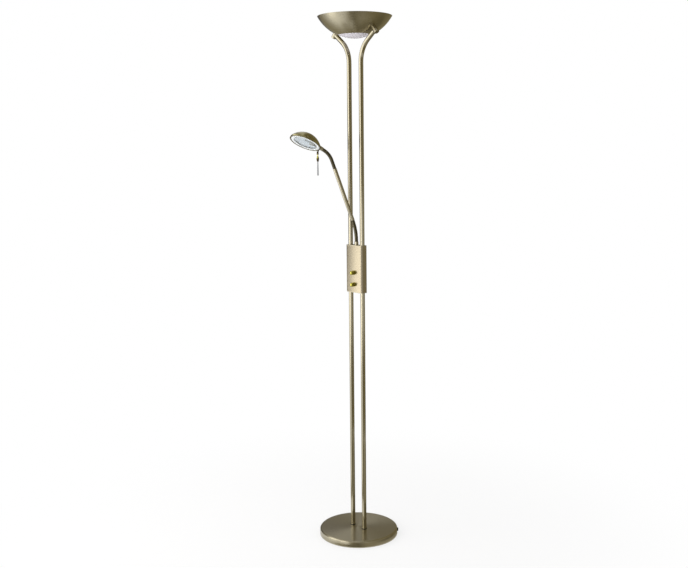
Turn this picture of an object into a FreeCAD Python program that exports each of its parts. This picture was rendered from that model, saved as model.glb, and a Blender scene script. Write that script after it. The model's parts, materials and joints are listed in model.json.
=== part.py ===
import FreeCAD, Part
import math
import os
from FreeCAD import Placement, Rotation, Vector

# Torchiere floor lamp with a reading light, all sizes in millimetres.
# The origin is the centre of the base's underside and +Z is up. The two poles stand
# on the X axis, the knobs face -Y, and the reading arm leans out over -Y.

# Running gaps
face_gap = 0.05
slip_gap = 0.1
hole_gap = 0.3

# Base
base_diameter = 276.0
base_height = 24.0
base_edge_radius = 6.0
base_cover_wall = 1.2
base_pad_thickness = 2.0
base_pad_inset = 4.0
base_cover_lift = 1.0
weight_recess_diameter = 168.0
weight_recess_depth = 10.0
weight_side_gap = 0.8
cable_channel_width = 8.0

# Cord gland in the side of the base
gland_azimuth = 47.0
gland_bore_diameter = 6.5
gland_body_diameter = 9.2
gland_flange_diameter = 12.0
gland_projection = 3.5
gland_tail = 7.0

# Poles
pole_spacing = 58.0
pole_diameter = 16.0
pole_wall = 1.0
pole_bend_radius = 90.0
pole_boss_overlap = 0.8

# Threaded nipples that hold the poles in the base
nipple_diameter = 10.0
nipple_bore = 7.0
nipple_engagement = 22.0
nipple_thread_end = 3.0
nut_across_flats = 17.0
nut_height = 5.0
washer_diameter = 22.0
washer_thickness = 1.5

# Control box round both poles
box_bottom = 872.0
box_height = 164.0
box_width = 80.0
box_depth = 28.0
box_corner_radius = 8.0
box_wall = 1.5
box_cap_thickness = 2.0
tie_rod_diameter = 3.0
tie_rod_x = 12.0
tie_rod_y = 9.0
tie_rod_head_diameter = 5.6

# Joint between lower and upper poles, inside the box
pole_joint_height = 985.0
coupler_length = 56.0
coupler_bore = 9.0
coupler_collar = 2.0
clamp_block_bottom = 1004.0
clamp_block_height = 16.0
clamp_block_depth = 22.0
grub_screw_diameter = 4.0

# Dimmers and their knobs
knob_rise = 28.0
knob_spacing = 41.0
dimmer_width = 26.0
dimmer_height = 30.0
dimmer_depth = 15.0
dimmer_bush_diameter = 9.5
dimmer_nut_diameter = 12.0
dimmer_nut_thickness = 2.4
shaft_diameter = 6.0
shaft_flat_depth = 1.2
knob_diameter = 15.0
knob_length = 16.0
knob_tip_diameter = 13.4
knob_dome = 4.0
knob_standoff = 0.6

# Terminal block on the back wall of the box
terminal_width = 16.0
terminal_height = 26.0
terminal_depth = 9.0
terminal_bottom = 958.0
terminal_ways = 3

# Bowl of the uplighter
lamp_height = 1800.0
bowl_diameter = 250.0
bowl_rim_slope = 60.0
bowl_wall = 1.5
bowl_opening_diameter = 114.0

# Bosses that carry the bowl on the pole ends
boss_attach_radius = 90.0
boss_diameter = 17.0
boss_length = 26.0
boss_pole_offset = 13.5
boss_edge = 1.0
boss_screw_diameter = 5.0
boss_screw_depth = 12.0
boss_screw_head_diameter = 10.0
boss_screw_head_height = 3.0

# Frosted glass dish in the opening of the bowl
dish_thickness = 3.0
dish_lip_diameter = 128.0
dish_neck_gap = 4.0
dish_drop = 10.0

# Linear lamp on its bracket
bracket_width = 20.0
bracket_thickness = 1.5
bracket_fold_reach = 11.0
bracket_tab_reach = 8.5
socket_spacing = 114.0
socket_thickness = 12.0
socket_width = 17.0
socket_height = 24.0
lamp_axis_lift = 16.0
tube_diameter = 10.0
tube_end_length = 9.0
tube_end_width = 6.5

# Flexible goosenecks of the reading arm
hose_diameter = 12.0
hose_groove_depth = 0.7
hose_bore = 6.4
hose_plug_diameter = 10.8
hose_rib_pitch = 2.8
hose_straight = 12.0
lower_hose_arc = 71.0
lower_hose_bend = 19.0
upper_hose_foot = 38.9
upper_hose_arc = 43.8
upper_hose_bend = 37.0

# Root of the reading arm on the box
arm_turn = -33.0
root_plug_length = 10.0
root_ferrule_diameter = 14.0
root_ferrule_base = 2.0
root_stem_diameter = 10.0
root_nut_height = 4.0
root_stem_reach = 1.0

# Rigid tube of the reading arm
arm_tube_length = 186.0
arm_tube_diameter = 13.0
arm_tube_wall = 1.0
arm_plug_length = 10.0

# Neck ferrule and saddle between the upper gooseneck and the head
neck_plug_length = 7.0
neck_ferrule_diameter = 13.0
neck_ferrule_base = 1.5
neck_stem_diameter = 6.5
neck_stem_bore = 4.0
neck_stem_tip = 0.8
neck_nut_height = 3.0
neck_nut_across_flats = 9.5
saddle_edge = 0.6
wedge_margin = 1.0
neck_tilt = 9.5
neck_height = 7.1
head_roll = 16.0

# Reading head
head_diameter = 108.0
head_height = 34.0
head_skirt = 4.0
head_wall = 1.0
ring_flange_diameter = 109.6
ring_flange_thickness = 1.3
ring_lip_diameter = 101.4
ring_wall = 0.9
ring_height = 2.6
glass_thickness = 2.5
reflector_rim_diameter = 98.0
reflector_height = 21.0
reflector_wall = 0.8
reflector_flange = 2.0
holder_width = 13.0
holder_height = 11.0
holder_near = 15.0
holder_far = 29.0
holder_floor = 5.0
holder_bracket_thickness = 1.0
holder_flange_height = 6.0
capsule_diameter = 9.0
capsule_length = 27.0
capsule_pin_length = 4.0
capsule_pin_diameter = 1.0

# Handle that hangs from the head's ring
handle_angle = 4.0
handle_radius = 51.6
lug_drop = 8.0
lug_thickness = 2.0
lug_width = 4.0
link_length = 7.0
link_diameter = 6.6
link_end = 1.9
link_slot_gap = 0.2
eye_diameter = 5.2
pin_diameter = 1.6
cap_neck_length = 5.0
cap_length = 20.5
cap_diameter = 8.8
cap_neck_diameter = 3.2
cap_foot_diameter = 4.6
rod_length = 46.5
rod_top_diameter = 3.8
rod_end_diameter = 5.6
rod_stem_diameter = 2.6
rod_stem_length = 8.0

PARTS = "parts"
UP = Vector(0, 0, 1)
ORIGIN = Vector(0, 0, 0)

# Sizes that follow from the ones above
base_radius = base_diameter / 2
cover_inner_radius = base_radius - base_cover_wall
base_top = base_height
base_under_cover = base_height - base_cover_wall
weight_floor = base_pad_thickness
recess_ceiling = weight_floor + weight_recess_depth
gland_height = base_height / 2

pole_radius = pole_diameter / 2
pole_inner_radius = pole_radius - pole_wall
pole_foot = base_under_cover

box_top = box_bottom + box_height
knob_heights = {"lower": box_bottom + knob_rise, "upper": box_bottom + knob_rise + knob_spacing}
box_front = -box_depth / 2
box_inner_front = box_front + box_wall
box_inner_back = box_depth / 2 - box_wall
sleeve_bottom = box_bottom + box_cap_thickness
sleeve_top = box_top - box_cap_thickness

bowl_rim_radius = bowl_diameter / 2
bowl_sphere_radius = bowl_rim_radius / math.sin(math.radians(bowl_rim_slope))
bowl_sphere_height = lamp_height + bowl_sphere_radius * math.cos(math.radians(bowl_rim_slope))
bowl_inner_radius = bowl_sphere_radius - bowl_wall
boss_slope = math.degrees(math.asin(boss_attach_radius / bowl_sphere_radius))
bracket_tab_lift = face_gap + bowl_inner_radius - math.sqrt(
    bowl_inner_radius ** 2 - bracket_fold_reach ** 2 - (bracket_width / 2) ** 2)

hose_radius = hose_diameter / 2
hose_groove_radius = hose_radius - hose_groove_depth
hose_plug_radius = hose_plug_diameter / 2
hose_socket_radius = hose_plug_radius + slip_gap

head_radius = head_diameter / 2
dome_cap_height = head_height - head_skirt
dome_sphere_radius = (head_radius ** 2 + dome_cap_height ** 2) / (2 * dome_cap_height)
dome_sphere_height = head_height - dome_sphere_radius
dome_inner_sphere = dome_sphere_radius - head_wall


def save(shape, node):
    """Write one sub-part to its own file."""
    shape.exportStep(os.path.join(PARTS, node + ".step"))
    return shape


def cylinder(radius, height, base=ORIGIN, axis=UP):
    return Part.makeCylinder(radius, height, base, axis)


def tube(outer, inner, height, base=ORIGIN, axis=UP):
    """A straight tube; its bore runs a little past both ends before it is cut."""
    step = Vector(axis).normalize()
    bore = cylinder(inner, height + 2, base - step, axis)
    return cylinder(outer, height, base, axis).cut(bore)


def block(width, depth, height, centre_x, centre_y, bottom):
    corner = Vector(centre_x - width / 2, centre_y - depth / 2, bottom)
    return Part.makeBox(width, depth, height, corner)


def turned(points):
    """A solid of revolution about Z; a point that holds three pairs is an arc's via and end."""
    edges = []
    here = Vector(points[0][0], 0, points[0][1])
    for point in points[1:]:
        there = Vector(point[-2], 0, point[-1])
        if len(point) == 4:
            via = Vector(point[0], 0, point[1])
            edges.append(Part.Arc(here, via, there).toShape())
        else:
            edges.append(Part.LineSegment(here, there).toShape())
        here = there
    start = Vector(points[0][0], 0, points[0][1])
    edges.append(Part.LineSegment(here, start).toShape())
    face = Part.Face(Part.Wire(edges))
    return face.revolve(ORIGIN, UP, 360)


def hexagon(across_flats, height, base=ORIGIN):
    """A hexagonal prism, flats facing -Y and +Y."""
    corner_radius = across_flats / 2 / math.cos(math.radians(30))
    corners = []
    for index in range(6):
        angle = math.radians(60 * index)
        corners.append(base + Vector(corner_radius * math.cos(angle), corner_radius * math.sin(angle), 0))
    corners.append(corners[0])
    return Part.Face(Part.makePolygon(corners)).extrude(Vector(0, 0, height))


def rounded_block(width, depth, height, radius, bottom):
    """An upright block with rounded vertical corners, centred on Z."""
    body = block(width, depth, height, 0, 0, bottom)
    upright = [edge for edge in body.Edges if abs(edge.tangentAt(edge.FirstParameter).z) > 0.9]
    return body.makeFillet(radius, upright)


def sphere_depth(radius, at):
    """How far a sphere's surface lies from its centre plane, at a distance from its axis."""
    return math.sqrt(radius ** 2 - at ** 2)


def fused(shapes):
    return shapes[0].multiFuse(shapes[1:]).removeSplitter()


def pole_x(side):
    return side * pole_spacing / 2


# Base

def make_base_cover():
    """Pressed shell with a rounded shoulder, two pole holes and the gland's hole."""
    outer = base_edge_radius
    inner = base_edge_radius - base_cover_wall
    slant = math.sqrt(0.5)
    centre_r = base_radius - outer
    centre_z = base_top - outer
    profile = [
        (0, base_top),
        (centre_r, base_top),
        (centre_r + outer * slant, centre_z + outer * slant, base_radius, centre_z),
        (base_radius, base_cover_lift),
        (cover_inner_radius, base_cover_lift),
        (cover_inner_radius, centre_z),
        (centre_r + inner * slant, centre_z + inner * slant, centre_r, base_under_cover),
        (0, base_under_cover),
    ]
    cover = turned(profile)
    for side in (-1, 1):
        hole = cylinder(pole_radius + hole_gap, base_cover_wall + 2,
                        Vector(pole_x(side), 0, base_under_cover - 1))
        cover = cover.cut(hole)
    return cover.cut(gland_core(gland_body_diameter / 2 + slip_gap, base_radius - 10, base_radius + 10))


def gland_core(radius, start, end):
    """A cylinder along the gland's axis, between two distances from the lamp's axis."""
    angle = math.radians(gland_azimuth)
    outward = Vector(math.cos(angle), math.sin(angle), 0)
    return cylinder(radius, end - start, outward * start + Vector(0, 0, gland_height), outward)


def make_base_weight():
    """Cast disc under the cover: recess for nuts and wires, and a channel out to the gland."""
    radius = cover_inner_radius - weight_side_gap
    shoulder = base_edge_radius
    weight = turned([
        (0, weight_floor),
        (radius, weight_floor),
        (radius, base_under_cover - shoulder),
        (radius - shoulder, base_under_cover),
        (0, base_under_cover),
    ])
    weight = weight.cut(cylinder(weight_recess_diameter / 2, weight_recess_depth + 1,
                                 Vector(0, 0, weight_floor - 1)))
    for side in (-1, 1):
        weight = weight.cut(cylinder(nipple_diameter / 2 + hole_gap, base_height,
                                     Vector(pole_x(side), 0, 0)))
    channel = block(base_radius, cable_channel_width, weight_recess_depth,
                    base_radius / 2, 0, weight_floor)
    pocket_width = gland_flange_diameter + 1
    pocket = block(gland_tail + 5, pocket_width, gland_height + pocket_width / 2 - weight_floor,
                   base_radius - (gland_tail + 5) / 2, 0, weight_floor)
    for cut in (channel, pocket):
        cut.rotate(ORIGIN, UP, gland_azimuth)
        weight = weight.cut(cut)
    return weight


def make_base_pad():
    return cylinder(base_radius - base_pad_inset, base_pad_thickness)


def make_cord_gland():
    """Grommet with an outer flange, a waist in the cover's wall and a tail inside."""
    bore = gland_bore_diameter / 2
    outside = base_radius + face_gap
    flange = gland_core(gland_flange_diameter / 2, outside, outside + gland_projection)
    flange = flange.makeFillet(1.2, [edge for edge in flange.Edges
                                     if edge.Curve.TypeId == "Part::GeomCircle"
                                     and edge.CenterOfMass.Length > outside + gland_projection / 2])
    waist = gland_core(gland_body_diameter / 2, outside - gland_tail, outside)
    gland = fused([flange, waist])
    return gland.cut(gland_core(bore, outside - gland_tail - 1, outside + gland_projection + 1))


def make_pole_nuts():
    """A washer and a hexagon nut on each nipple, in the recess of the weight."""
    shapes = []
    for side in (-1, 1):
        centre = Vector(pole_x(side), 0, recess_ceiling - washer_thickness)
        washer = tube(washer_diameter / 2, nipple_diameter / 2 + slip_gap, washer_thickness, centre)
        seat = centre - Vector(0, 0, nut_height)
        nut = hexagon(nut_across_flats, nut_height, seat)
        nut = nut.cut(cylinder(nipple_diameter / 2 + face_gap, nut_height + 2, seat - UP))
        shapes += [washer, nut]
    return Part.makeCompound(shapes)


def make_pole_nipples():
    """Hollow threaded rods from below the nuts into the plugs of the pole feet."""
    bottom = recess_ceiling - washer_thickness - nut_height - 1
    top = pole_foot + nipple_engagement
    return Part.makeCompound([tube(nipple_diameter / 2, nipple_bore / 2, top - bottom,
                                   Vector(pole_x(side), 0, bottom)) for side in (-1, 1)])


def make_pole_plugs():
    """Threaded plugs that are fixed in the feet of the lower poles."""
    length = nipple_engagement + nipple_thread_end
    return Part.makeCompound([tube(pole_inner_radius - face_gap, nipple_diameter / 2 + face_gap, length,
                                   Vector(pole_x(side), 0, pole_foot)) for side in (-1, 1)])


# Poles

def make_lower_pole(side):
    return tube(pole_radius, pole_inner_radius, pole_joint_height - pole_foot,
                Vector(pole_x(side), 0, pole_foot))


def boss_frame(side):
    """The point where a boss meets the bowl, and its axis, outwards and down."""
    slope = math.radians(boss_slope)
    contact = Vector(side * boss_attach_radius, 0,
                     bowl_sphere_height - sphere_depth(bowl_sphere_radius, boss_attach_radius))
    axis = Vector(side * math.sin(slope), 0, -math.cos(slope))
    return contact, axis


def upper_pole_route(side):
    """Straight up, then one arc outwards, then straight into the side of the boss, square to it."""
    bend = math.radians(90 - boss_slope)
    contact, axis = boss_frame(side)
    joint = contact + axis * boss_pole_offset
    along = Vector(side * math.sin(bend), 0, math.cos(bend))
    foot = Vector(pole_x(side), 0, pole_joint_height + coupler_collar)
    run = pole_bend_radius * (1 - math.cos(bend))
    straight = (abs(joint.x) - abs(foot.x) - run) / math.sin(bend)
    arc_end = joint - along * straight
    arc_start = Vector(foot.x, 0, arc_end.z - pole_bend_radius * math.sin(bend))
    middle = Vector(foot.x + side * pole_bend_radius * (1 - math.cos(bend / 2)), 0,
                    arc_start.z + pole_bend_radius * math.sin(bend / 2))
    end = joint - along * (boss_diameter / 2 - pole_boss_overlap - pole_wall)
    return foot, arc_start, middle, arc_end, end


def swept_pole(side, radius):
    foot, arc_start, middle, arc_end, end = upper_pole_route(side)
    route = Part.Wire([
        Part.LineSegment(foot, arc_start).toShape(),
        Part.Arc(arc_start, middle, arc_end).toShape(),
        Part.LineSegment(arc_end, end).toShape(),
    ])
    section = Part.Wire(Part.Circle(foot, UP, radius).toShape())
    return route.makePipeShell([section], True, False)


def make_upper_pole(side):
    """Bent tube whose end is coped to the boss it is brazed to."""
    pole = swept_pole(side, pole_radius).cut(swept_pole(side, pole_inner_radius))
    contact, axis = boss_frame(side)
    return pole.cut(cylinder(boss_diameter / 2 + face_gap, 4 * boss_length, contact - axis * boss_length, axis))


def make_pole_couplers():
    """Hollow spigots in the ends of both tubes, each with a collar between them."""
    shapes = []
    for side in (-1, 1):
        x = pole_x(side)
        middle = pole_joint_height + coupler_collar / 2
        spigot = cylinder(pole_inner_radius - face_gap, coupler_length, Vector(x, 0, middle - coupler_length / 2))
        collar = cylinder(pole_radius, coupler_collar, Vector(x, 0, pole_joint_height))
        bore = cylinder(coupler_bore / 2, coupler_length + 2, Vector(x, 0, middle - coupler_length / 2 - 1))
        shapes.append(spigot.fuse(collar).cut(bore))
    return Part.makeCompound(shapes)


# Control box

def pole_clearance(bottom, height):
    """Two cylinders that open a plate for the poles."""
    return [cylinder(pole_radius + hole_gap, height, Vector(pole_x(side), 0, bottom)) for side in (-1, 1)]


def tie_rod_cores(radius, bottom, height):
    return [cylinder(radius, height, Vector(side * tie_rod_x, tie_rod_y, bottom)) for side in (-1, 1)]


def make_box_sleeve():
    """Drawn rectangular sleeve with holes for the dimmer bushes and the grub screws."""
    height = sleeve_top - sleeve_bottom
    outer = rounded_block(box_width, box_depth, height, box_corner_radius, sleeve_bottom)
    inner = rounded_block(box_width - 2 * box_wall, box_depth - 2 * box_wall, height + 2,
                          box_corner_radius - box_wall, sleeve_bottom - 1)
    sleeve = outer.cut(inner)
    for knob_height in knob_heights.values():
        sleeve = sleeve.cut(cylinder(dimmer_bush_diameter / 2 + slip_gap, box_wall + 2,
                                     Vector(0, box_front - 1, knob_height), Vector(0, 1, 0)))
    screw_height = clamp_block_bottom + clamp_block_height / 2
    for side in (-1, 1):
        sleeve = sleeve.cut(cylinder(grub_screw_diameter / 2 + slip_gap, box_wall + 2,
                                     Vector(pole_x(side), box_inner_back - 1, screw_height), Vector(0, 1, 0)))
    return sleeve


def make_box_cap(bottom, holes):
    cap = rounded_block(box_width, box_depth, box_cap_thickness, box_corner_radius, bottom)
    for hole in holes:
        cap = cap.cut(hole)
    return cap


def make_box_bottom_cap():
    """Closes the sleeve from below; the tie rods' countersunk heads sit in it."""
    low = box_bottom - 1
    holes = pole_clearance(low, box_cap_thickness + 2)
    holes += tie_rod_cores(tie_rod_diameter / 2 + slip_gap, low, box_cap_thickness + 2)
    for side in (-1, 1):
        holes.append(Part.makeCone(tie_rod_head_diameter / 2 + slip_gap, tie_rod_diameter / 2 + slip_gap,
                                   box_cap_thickness, Vector(side * tie_rod_x, tie_rod_y, box_bottom)))
    return make_box_cap(box_bottom, holes)


def make_box_top_cap():
    """Closes the sleeve from above; the tie rods are screwed into it and the arm stands on it."""
    low = sleeve_top - 1
    holes = pole_clearance(low, box_cap_thickness + 2)
    holes += tie_rod_cores(tie_rod_diameter / 2 + face_gap, low, 2)
    holes.append(cylinder(root_stem_diameter / 2 + slip_gap, box_cap_thickness + 2, Vector(0, 0, low)))
    return make_box_cap(sleeve_top, holes)


def make_tie_rods():
    """Countersunk rods that draw both caps onto the sleeve."""
    shapes = []
    for side in (-1, 1):
        foot = Vector(side * tie_rod_x, tie_rod_y, box_bottom)
        head = Part.makeCone(tie_rod_head_diameter / 2, tie_rod_diameter / 2, box_cap_thickness, foot)
        shank = cylinder(tie_rod_diameter / 2, sleeve_top + 1 - box_bottom - box_cap_thickness,
                         foot + Vector(0, 0, box_cap_thickness))
        shapes.append(head.fuse(shank))
    return Part.makeCompound(shapes)


def make_pole_clamp():
    """Block that both upper poles run through, held by a grub screw on each."""
    width = pole_spacing + pole_diameter + 2
    clamp = rounded_block(width, clamp_block_depth, clamp_block_height, box_corner_radius - box_wall,
                          clamp_block_bottom)
    low = clamp_block_bottom - 1
    high = clamp_block_height + 2
    cuts = [cylinder(pole_radius + face_gap, high, Vector(pole_x(side), 0, low)) for side in (-1, 1)]
    cuts += tie_rod_cores(tie_rod_diameter / 2 + hole_gap, low, high)
    cuts.append(cylinder(hose_bore / 2 + 1, high, Vector(0, 0, low)))
    for side in (-1, 1):
        cuts.append(cylinder(grub_screw_diameter / 2 + face_gap, clamp_block_depth,
                             Vector(pole_x(side), 0, clamp_block_bottom + clamp_block_height / 2),
                             Vector(0, 1, 0)))
    for cut in cuts:
        clamp = clamp.cut(cut)
    return clamp


def make_grub_screws():
    start = pole_radius + face_gap
    length = box_depth / 2 - start
    screws = []
    for side in (-1, 1):
        base = Vector(pole_x(side), start, clamp_block_bottom + clamp_block_height / 2)
        screw = cylinder(grub_screw_diameter / 2, length, base, Vector(0, 1, 0))
        slot = block(0.6, 1.6, grub_screw_diameter, pole_x(side), box_depth / 2, base.z - grub_screw_diameter / 2)
        screws.append(screw.cut(slot))
    return Part.makeCompound(screws)


def make_dimmer(height):
    """Rotary dimmer: moulded case, threaded bush through the front wall, hollow for its shaft."""
    case_front = box_inner_front + face_gap
    case = block(dimmer_width, dimmer_depth, dimmer_height, 0, case_front + dimmer_depth / 2,
                 height - dimmer_height / 2)
    case = case.makeChamfer(1.5, [edge for edge in case.Edges
                                  if abs(edge.tangentAt(edge.FirstParameter).y) > 0.9])
    bush_reach = box_front - dimmer_nut_thickness - 0.3
    bush = cylinder(dimmer_bush_diameter / 2, case_front + 1 - bush_reach, Vector(0, bush_reach, height),
                    Vector(0, 1, 0))
    shaft_core = cylinder(shaft_diameter / 2 + face_gap, 8 - bush_reach + case_front,
                          Vector(0, bush_reach - 1, height), Vector(0, 1, 0))
    return case.fuse(bush).cut(shaft_core)


def make_dimmer_nuts():
    """Round nuts that hold the dimmers on the front wall, hidden in the knobs."""
    nuts = []
    for height in knob_heights.values():
        base = Vector(0, box_front - dimmer_nut_thickness, height)
        nuts.append(tube(dimmer_nut_diameter / 2, dimmer_bush_diameter / 2 + face_gap, dimmer_nut_thickness,
                         base, Vector(0, 1, 0)))
    return Part.makeCompound(nuts)


def make_dimmer_shaft(height):
    """Shaft with a flat where the knob grips it."""
    tip = box_front - knob_length + 2
    inner_end = box_inner_front + 5
    shaft = cylinder(shaft_diameter / 2, inner_end - tip, Vector(0, tip, height), Vector(0, 1, 0))
    flat_length = knob_length - dimmer_nut_thickness - 4
    flat = block(shaft_diameter, flat_length, shaft_flat_depth, 0, tip + flat_length / 2,
                 height + shaft_diameter / 2 - shaft_flat_depth)
    return shaft.cut(flat)


def make_knob(height):
    """Turned knob with a domed end, a bore with a flat, and a recess that covers the nut."""
    radius = knob_diameter / 2
    tip_radius = knob_tip_diameter / 2
    dome_start = knob_length - knob_dome
    dome_sphere = (tip_radius ** 2 + knob_dome ** 2) / (2 * knob_dome)
    slant = tip_radius * 0.6
    via = knob_length - dome_sphere + sphere_depth(dome_sphere, slant)
    knob = turned([
        (0, knob_standoff),
        (radius - 0.5, knob_standoff),
        (radius, knob_standoff + 0.5),
        (radius, knob_standoff + 2.5),
        (tip_radius, dome_start),
        (slant, via, 0, knob_length),
    ])
    recess = cylinder(dimmer_nut_diameter / 2 + hole_gap, dimmer_nut_thickness + 1)
    knob = knob.cut(recess)
    bore = cylinder(shaft_diameter / 2 + face_gap, knob_length - 2 + face_gap)
    flat_start = dimmer_nut_thickness + 2
    flat = block(shaft_diameter, shaft_flat_depth, knob_length, 0,
                 shaft_diameter / 2 - shaft_flat_depth / 2 + 2 * face_gap, flat_start)
    knob = knob.cut(bore.cut(flat))
    knob.rotate(ORIGIN, Vector(1, 0, 0), 90)
    knob.translate(Vector(0, box_front, height))
    return knob


def make_terminal_block():
    """Moulded screw terminal with a wire way and a screw well for each lead."""
    back = box_inner_back - face_gap
    body = block(terminal_width, terminal_depth, terminal_height, 0, back - terminal_depth / 2, terminal_bottom)
    pitch = terminal_height / terminal_ways
    for index in range(terminal_ways):
        z = terminal_bottom + pitch * (index + 0.5)
        way = cylinder(1.8, terminal_width + 2, Vector(-terminal_width / 2 - 1, back - terminal_depth * 0.4, z),
                       Vector(1, 0, 0))
        body = body.cut(way)
        for side in (-1, 1):
            well = cylinder(1.6, terminal_depth * 0.4, Vector(side * terminal_width / 4, back - terminal_depth, z),
                            Vector(0, 1, 0))
            body = body.cut(well)
    return body


# Uplighter

def bowl_surface(radius, at):
    """Height of a sphere that shares the bowl's centre, below it, at a distance from the axis."""
    return bowl_sphere_height - sphere_depth(radius, at)


def make_bowl():
    """Spun spherical shell with a plain rim, a round opening below and two screw holes."""
    opening = bowl_opening_diameter / 2
    inner_rim = math.sqrt(bowl_inner_radius ** 2 - (bowl_sphere_height - lamp_height) ** 2)
    middle = (opening + bowl_rim_radius) / 2
    bowl = turned([
        (bowl_rim_radius, lamp_height),
        (middle, bowl_surface(bowl_sphere_radius, middle), opening, bowl_surface(bowl_sphere_radius, opening)),
        (opening, bowl_surface(bowl_inner_radius, opening)),
        (middle, bowl_surface(bowl_inner_radius, middle), inner_rim, lamp_height),
    ])
    for side in (-1, 1):
        contact, axis = boss_frame(side)
        bowl = bowl.cut(cylinder(boss_screw_diameter / 2 + slip_gap, 6 * bowl_wall,
                                 contact - axis * 3 * bowl_wall, axis))
    return bowl


def make_boss(side):
    """Cylinder normal to the bowl, hollowed to its curve, with a rounded outer end and a threaded hole."""
    contact, axis = boss_frame(side)
    boss = cylinder(boss_diameter / 2, boss_length + 4, contact - axis * 4, axis)
    outer_end = contact + axis * boss_length
    boss = boss.makeFillet(boss_edge, [edge for edge in boss.Edges
                                       if edge.Curve.TypeId == "Part::GeomCircle"
                                       and (edge.CenterOfMass - outer_end).Length < 1])
    bowl_ball = Part.makeSphere(bowl_sphere_radius + face_gap, Vector(0, 0, bowl_sphere_height))
    thread = cylinder(boss_screw_diameter / 2 + face_gap, boss_screw_depth + 5, contact - axis * 4, axis)
    return boss.cut(bowl_ball).cut(thread)


def make_boss_screws():
    """Button-head screws from inside, through bracket and bowl into the bosses."""
    shapes = []
    lift = bowl_wall + bracket_tab_lift + bracket_thickness + face_gap
    for side in (-1, 1):
        contact, axis = boss_frame(side)
        seat = contact - axis * lift
        shank = cylinder(boss_screw_diameter / 2, lift + boss_screw_depth, seat, axis)
        head = cylinder(boss_screw_head_diameter / 2, boss_screw_head_height, seat, axis * -1)
        head = head.makeFillet(boss_screw_head_height * 0.6, [
            edge for edge in head.Edges if edge.Curve.TypeId == "Part::GeomCircle"
            and (edge.CenterOfMass - seat).Length > boss_screw_head_height / 2])
        shapes.append(head.fuse(shank))
    return Part.makeCompound(shapes)


def make_glass_dish():
    """Frosted dish: its lip follows the inside of the bowl and its middle hangs through the opening."""
    outer_sphere = bowl_inner_radius - hole_gap
    inner_sphere = outer_sphere - dish_thickness
    lip = dish_lip_diameter / 2
    neck = bowl_opening_diameter / 2 - dish_neck_gap
    neck_height = bowl_surface(outer_sphere, neck)
    middle = (lip + neck) / 2
    bottom = bowl_surface(bowl_sphere_radius, neck) - dish_drop
    rise = neck_height - bottom
    cap_sphere = (neck ** 2 + rise ** 2) / (2 * rise)
    inner_cap = cap_sphere - dish_thickness
    centre = bottom + cap_sphere
    half = neck / 2
    inner_lip_z = bowl_surface(inner_sphere, lip)
    inner_neck = neck - dish_thickness
    inner_neck_z = centre - sphere_depth(inner_cap, inner_neck)
    join = bowl_surface(inner_sphere, neck)
    return turned([
        (0, bottom),
        (half, centre - sphere_depth(cap_sphere, half), neck, neck_height),
        (middle, bowl_surface(outer_sphere, middle), lip, bowl_surface(outer_sphere, lip)),
        (lip, inner_lip_z),
        (middle, bowl_surface(inner_sphere, middle), neck, join),
        (inner_neck, inner_neck_z),
        (half, centre - sphere_depth(inner_cap, half), 0, bottom + dish_thickness),
    ])


def bracket_fold():
    """Where the strip's underside turns from level to the slope of the bowl's wall."""
    contact, axis = boss_frame(1)
    slope = math.radians(boss_slope)
    along = Vector(math.cos(slope), 0, math.sin(slope))
    seat = contact - axis * (bowl_wall + bracket_tab_lift)
    return seat - along * bracket_fold_reach, along


def bracket_floor():
    return bracket_fold()[0].z


def make_lamp_bracket():
    """Folded strip across the bowl; its raised ends lie under the boss screws."""
    fold, along = bracket_fold()
    slope = math.radians(boss_slope)
    floor = fold.z
    tip = fold + along * (bracket_fold_reach + bracket_tab_reach)
    rise = Vector(-along.z, 0, along.x) * bracket_thickness
    top = floor + bracket_thickness
    upper_fold_x = fold.x - bracket_thickness * math.tan(slope / 2)
    outline = [
        Vector(-fold.x, 0, floor), Vector(fold.x, 0, floor), tip, tip + rise,
        Vector(upper_fold_x, 0, top), Vector(-upper_fold_x, 0, top),
        Vector(-(tip + rise).x, 0, (tip + rise).z), Vector(-tip.x, 0, tip.z), Vector(-fold.x, 0, floor),
    ]
    face = Part.Face(Part.makePolygon([point - Vector(0, bracket_width / 2, 0) for point in outline]))
    strip = face.extrude(Vector(0, bracket_width, 0))
    for side in (-1, 1):
        contact, axis = boss_frame(side)
        strip = strip.cut(cylinder(boss_screw_diameter / 2 + slip_gap, 20, contact - axis * 15, axis))
    strip = strip.cut(cylinder(4, 4, Vector(0, 0, floor - 1)))
    return strip


def socket_reach():
    """Distance from the middle to the inner face of a lamp socket."""
    return socket_spacing / 2


def make_lamp_socket(side):
    """Ceramic block on the bracket with a conical cup for the end of the lamp."""
    floor = bracket_floor() + bracket_thickness
    centre_x = side * (socket_reach() + socket_thickness / 2)
    socket = block(socket_thickness, socket_width, socket_height, centre_x, 0, floor)
    socket = socket.makeChamfer(2.5, [edge for edge in socket.Edges
                                      if abs(edge.tangentAt(edge.FirstParameter).x) > 0.9
                                      and edge.CenterOfMass.z > floor + socket_height / 2])
    mouth = Vector(side * socket_reach(), 0, floor + lamp_axis_lift)
    cup = Part.makeCone(tube_end_width / 2 + 1.5, tube_end_width / 2 + 0.6, 7, mouth, Vector(side, 0, 0))
    return socket.cut(cup)


def make_linear_lamp():
    """Double-ended tube: quartz body, pinched ends and round contact caps."""
    axis_height = bracket_floor() + bracket_thickness + lamp_axis_lift
    body_half = socket_reach() - tube_end_length + 3
    fillet = 2.5
    body = cylinder(tube_diameter / 2, 2 * body_half, Vector(-body_half, 0, axis_height), Vector(1, 0, 0))
    body = body.makeFillet(fillet, [edge for edge in body.Edges if edge.Curve.TypeId == "Part::GeomCircle"])
    shapes = [body]
    for side in (-1, 1):
        start = Vector(side * (body_half - 1), 0, axis_height)
        shapes.append(cylinder(tube_end_width / 2, socket_reach() + 6 - body_half + 1, start, Vector(side, 0, 0)))
    return fused(shapes)


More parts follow.
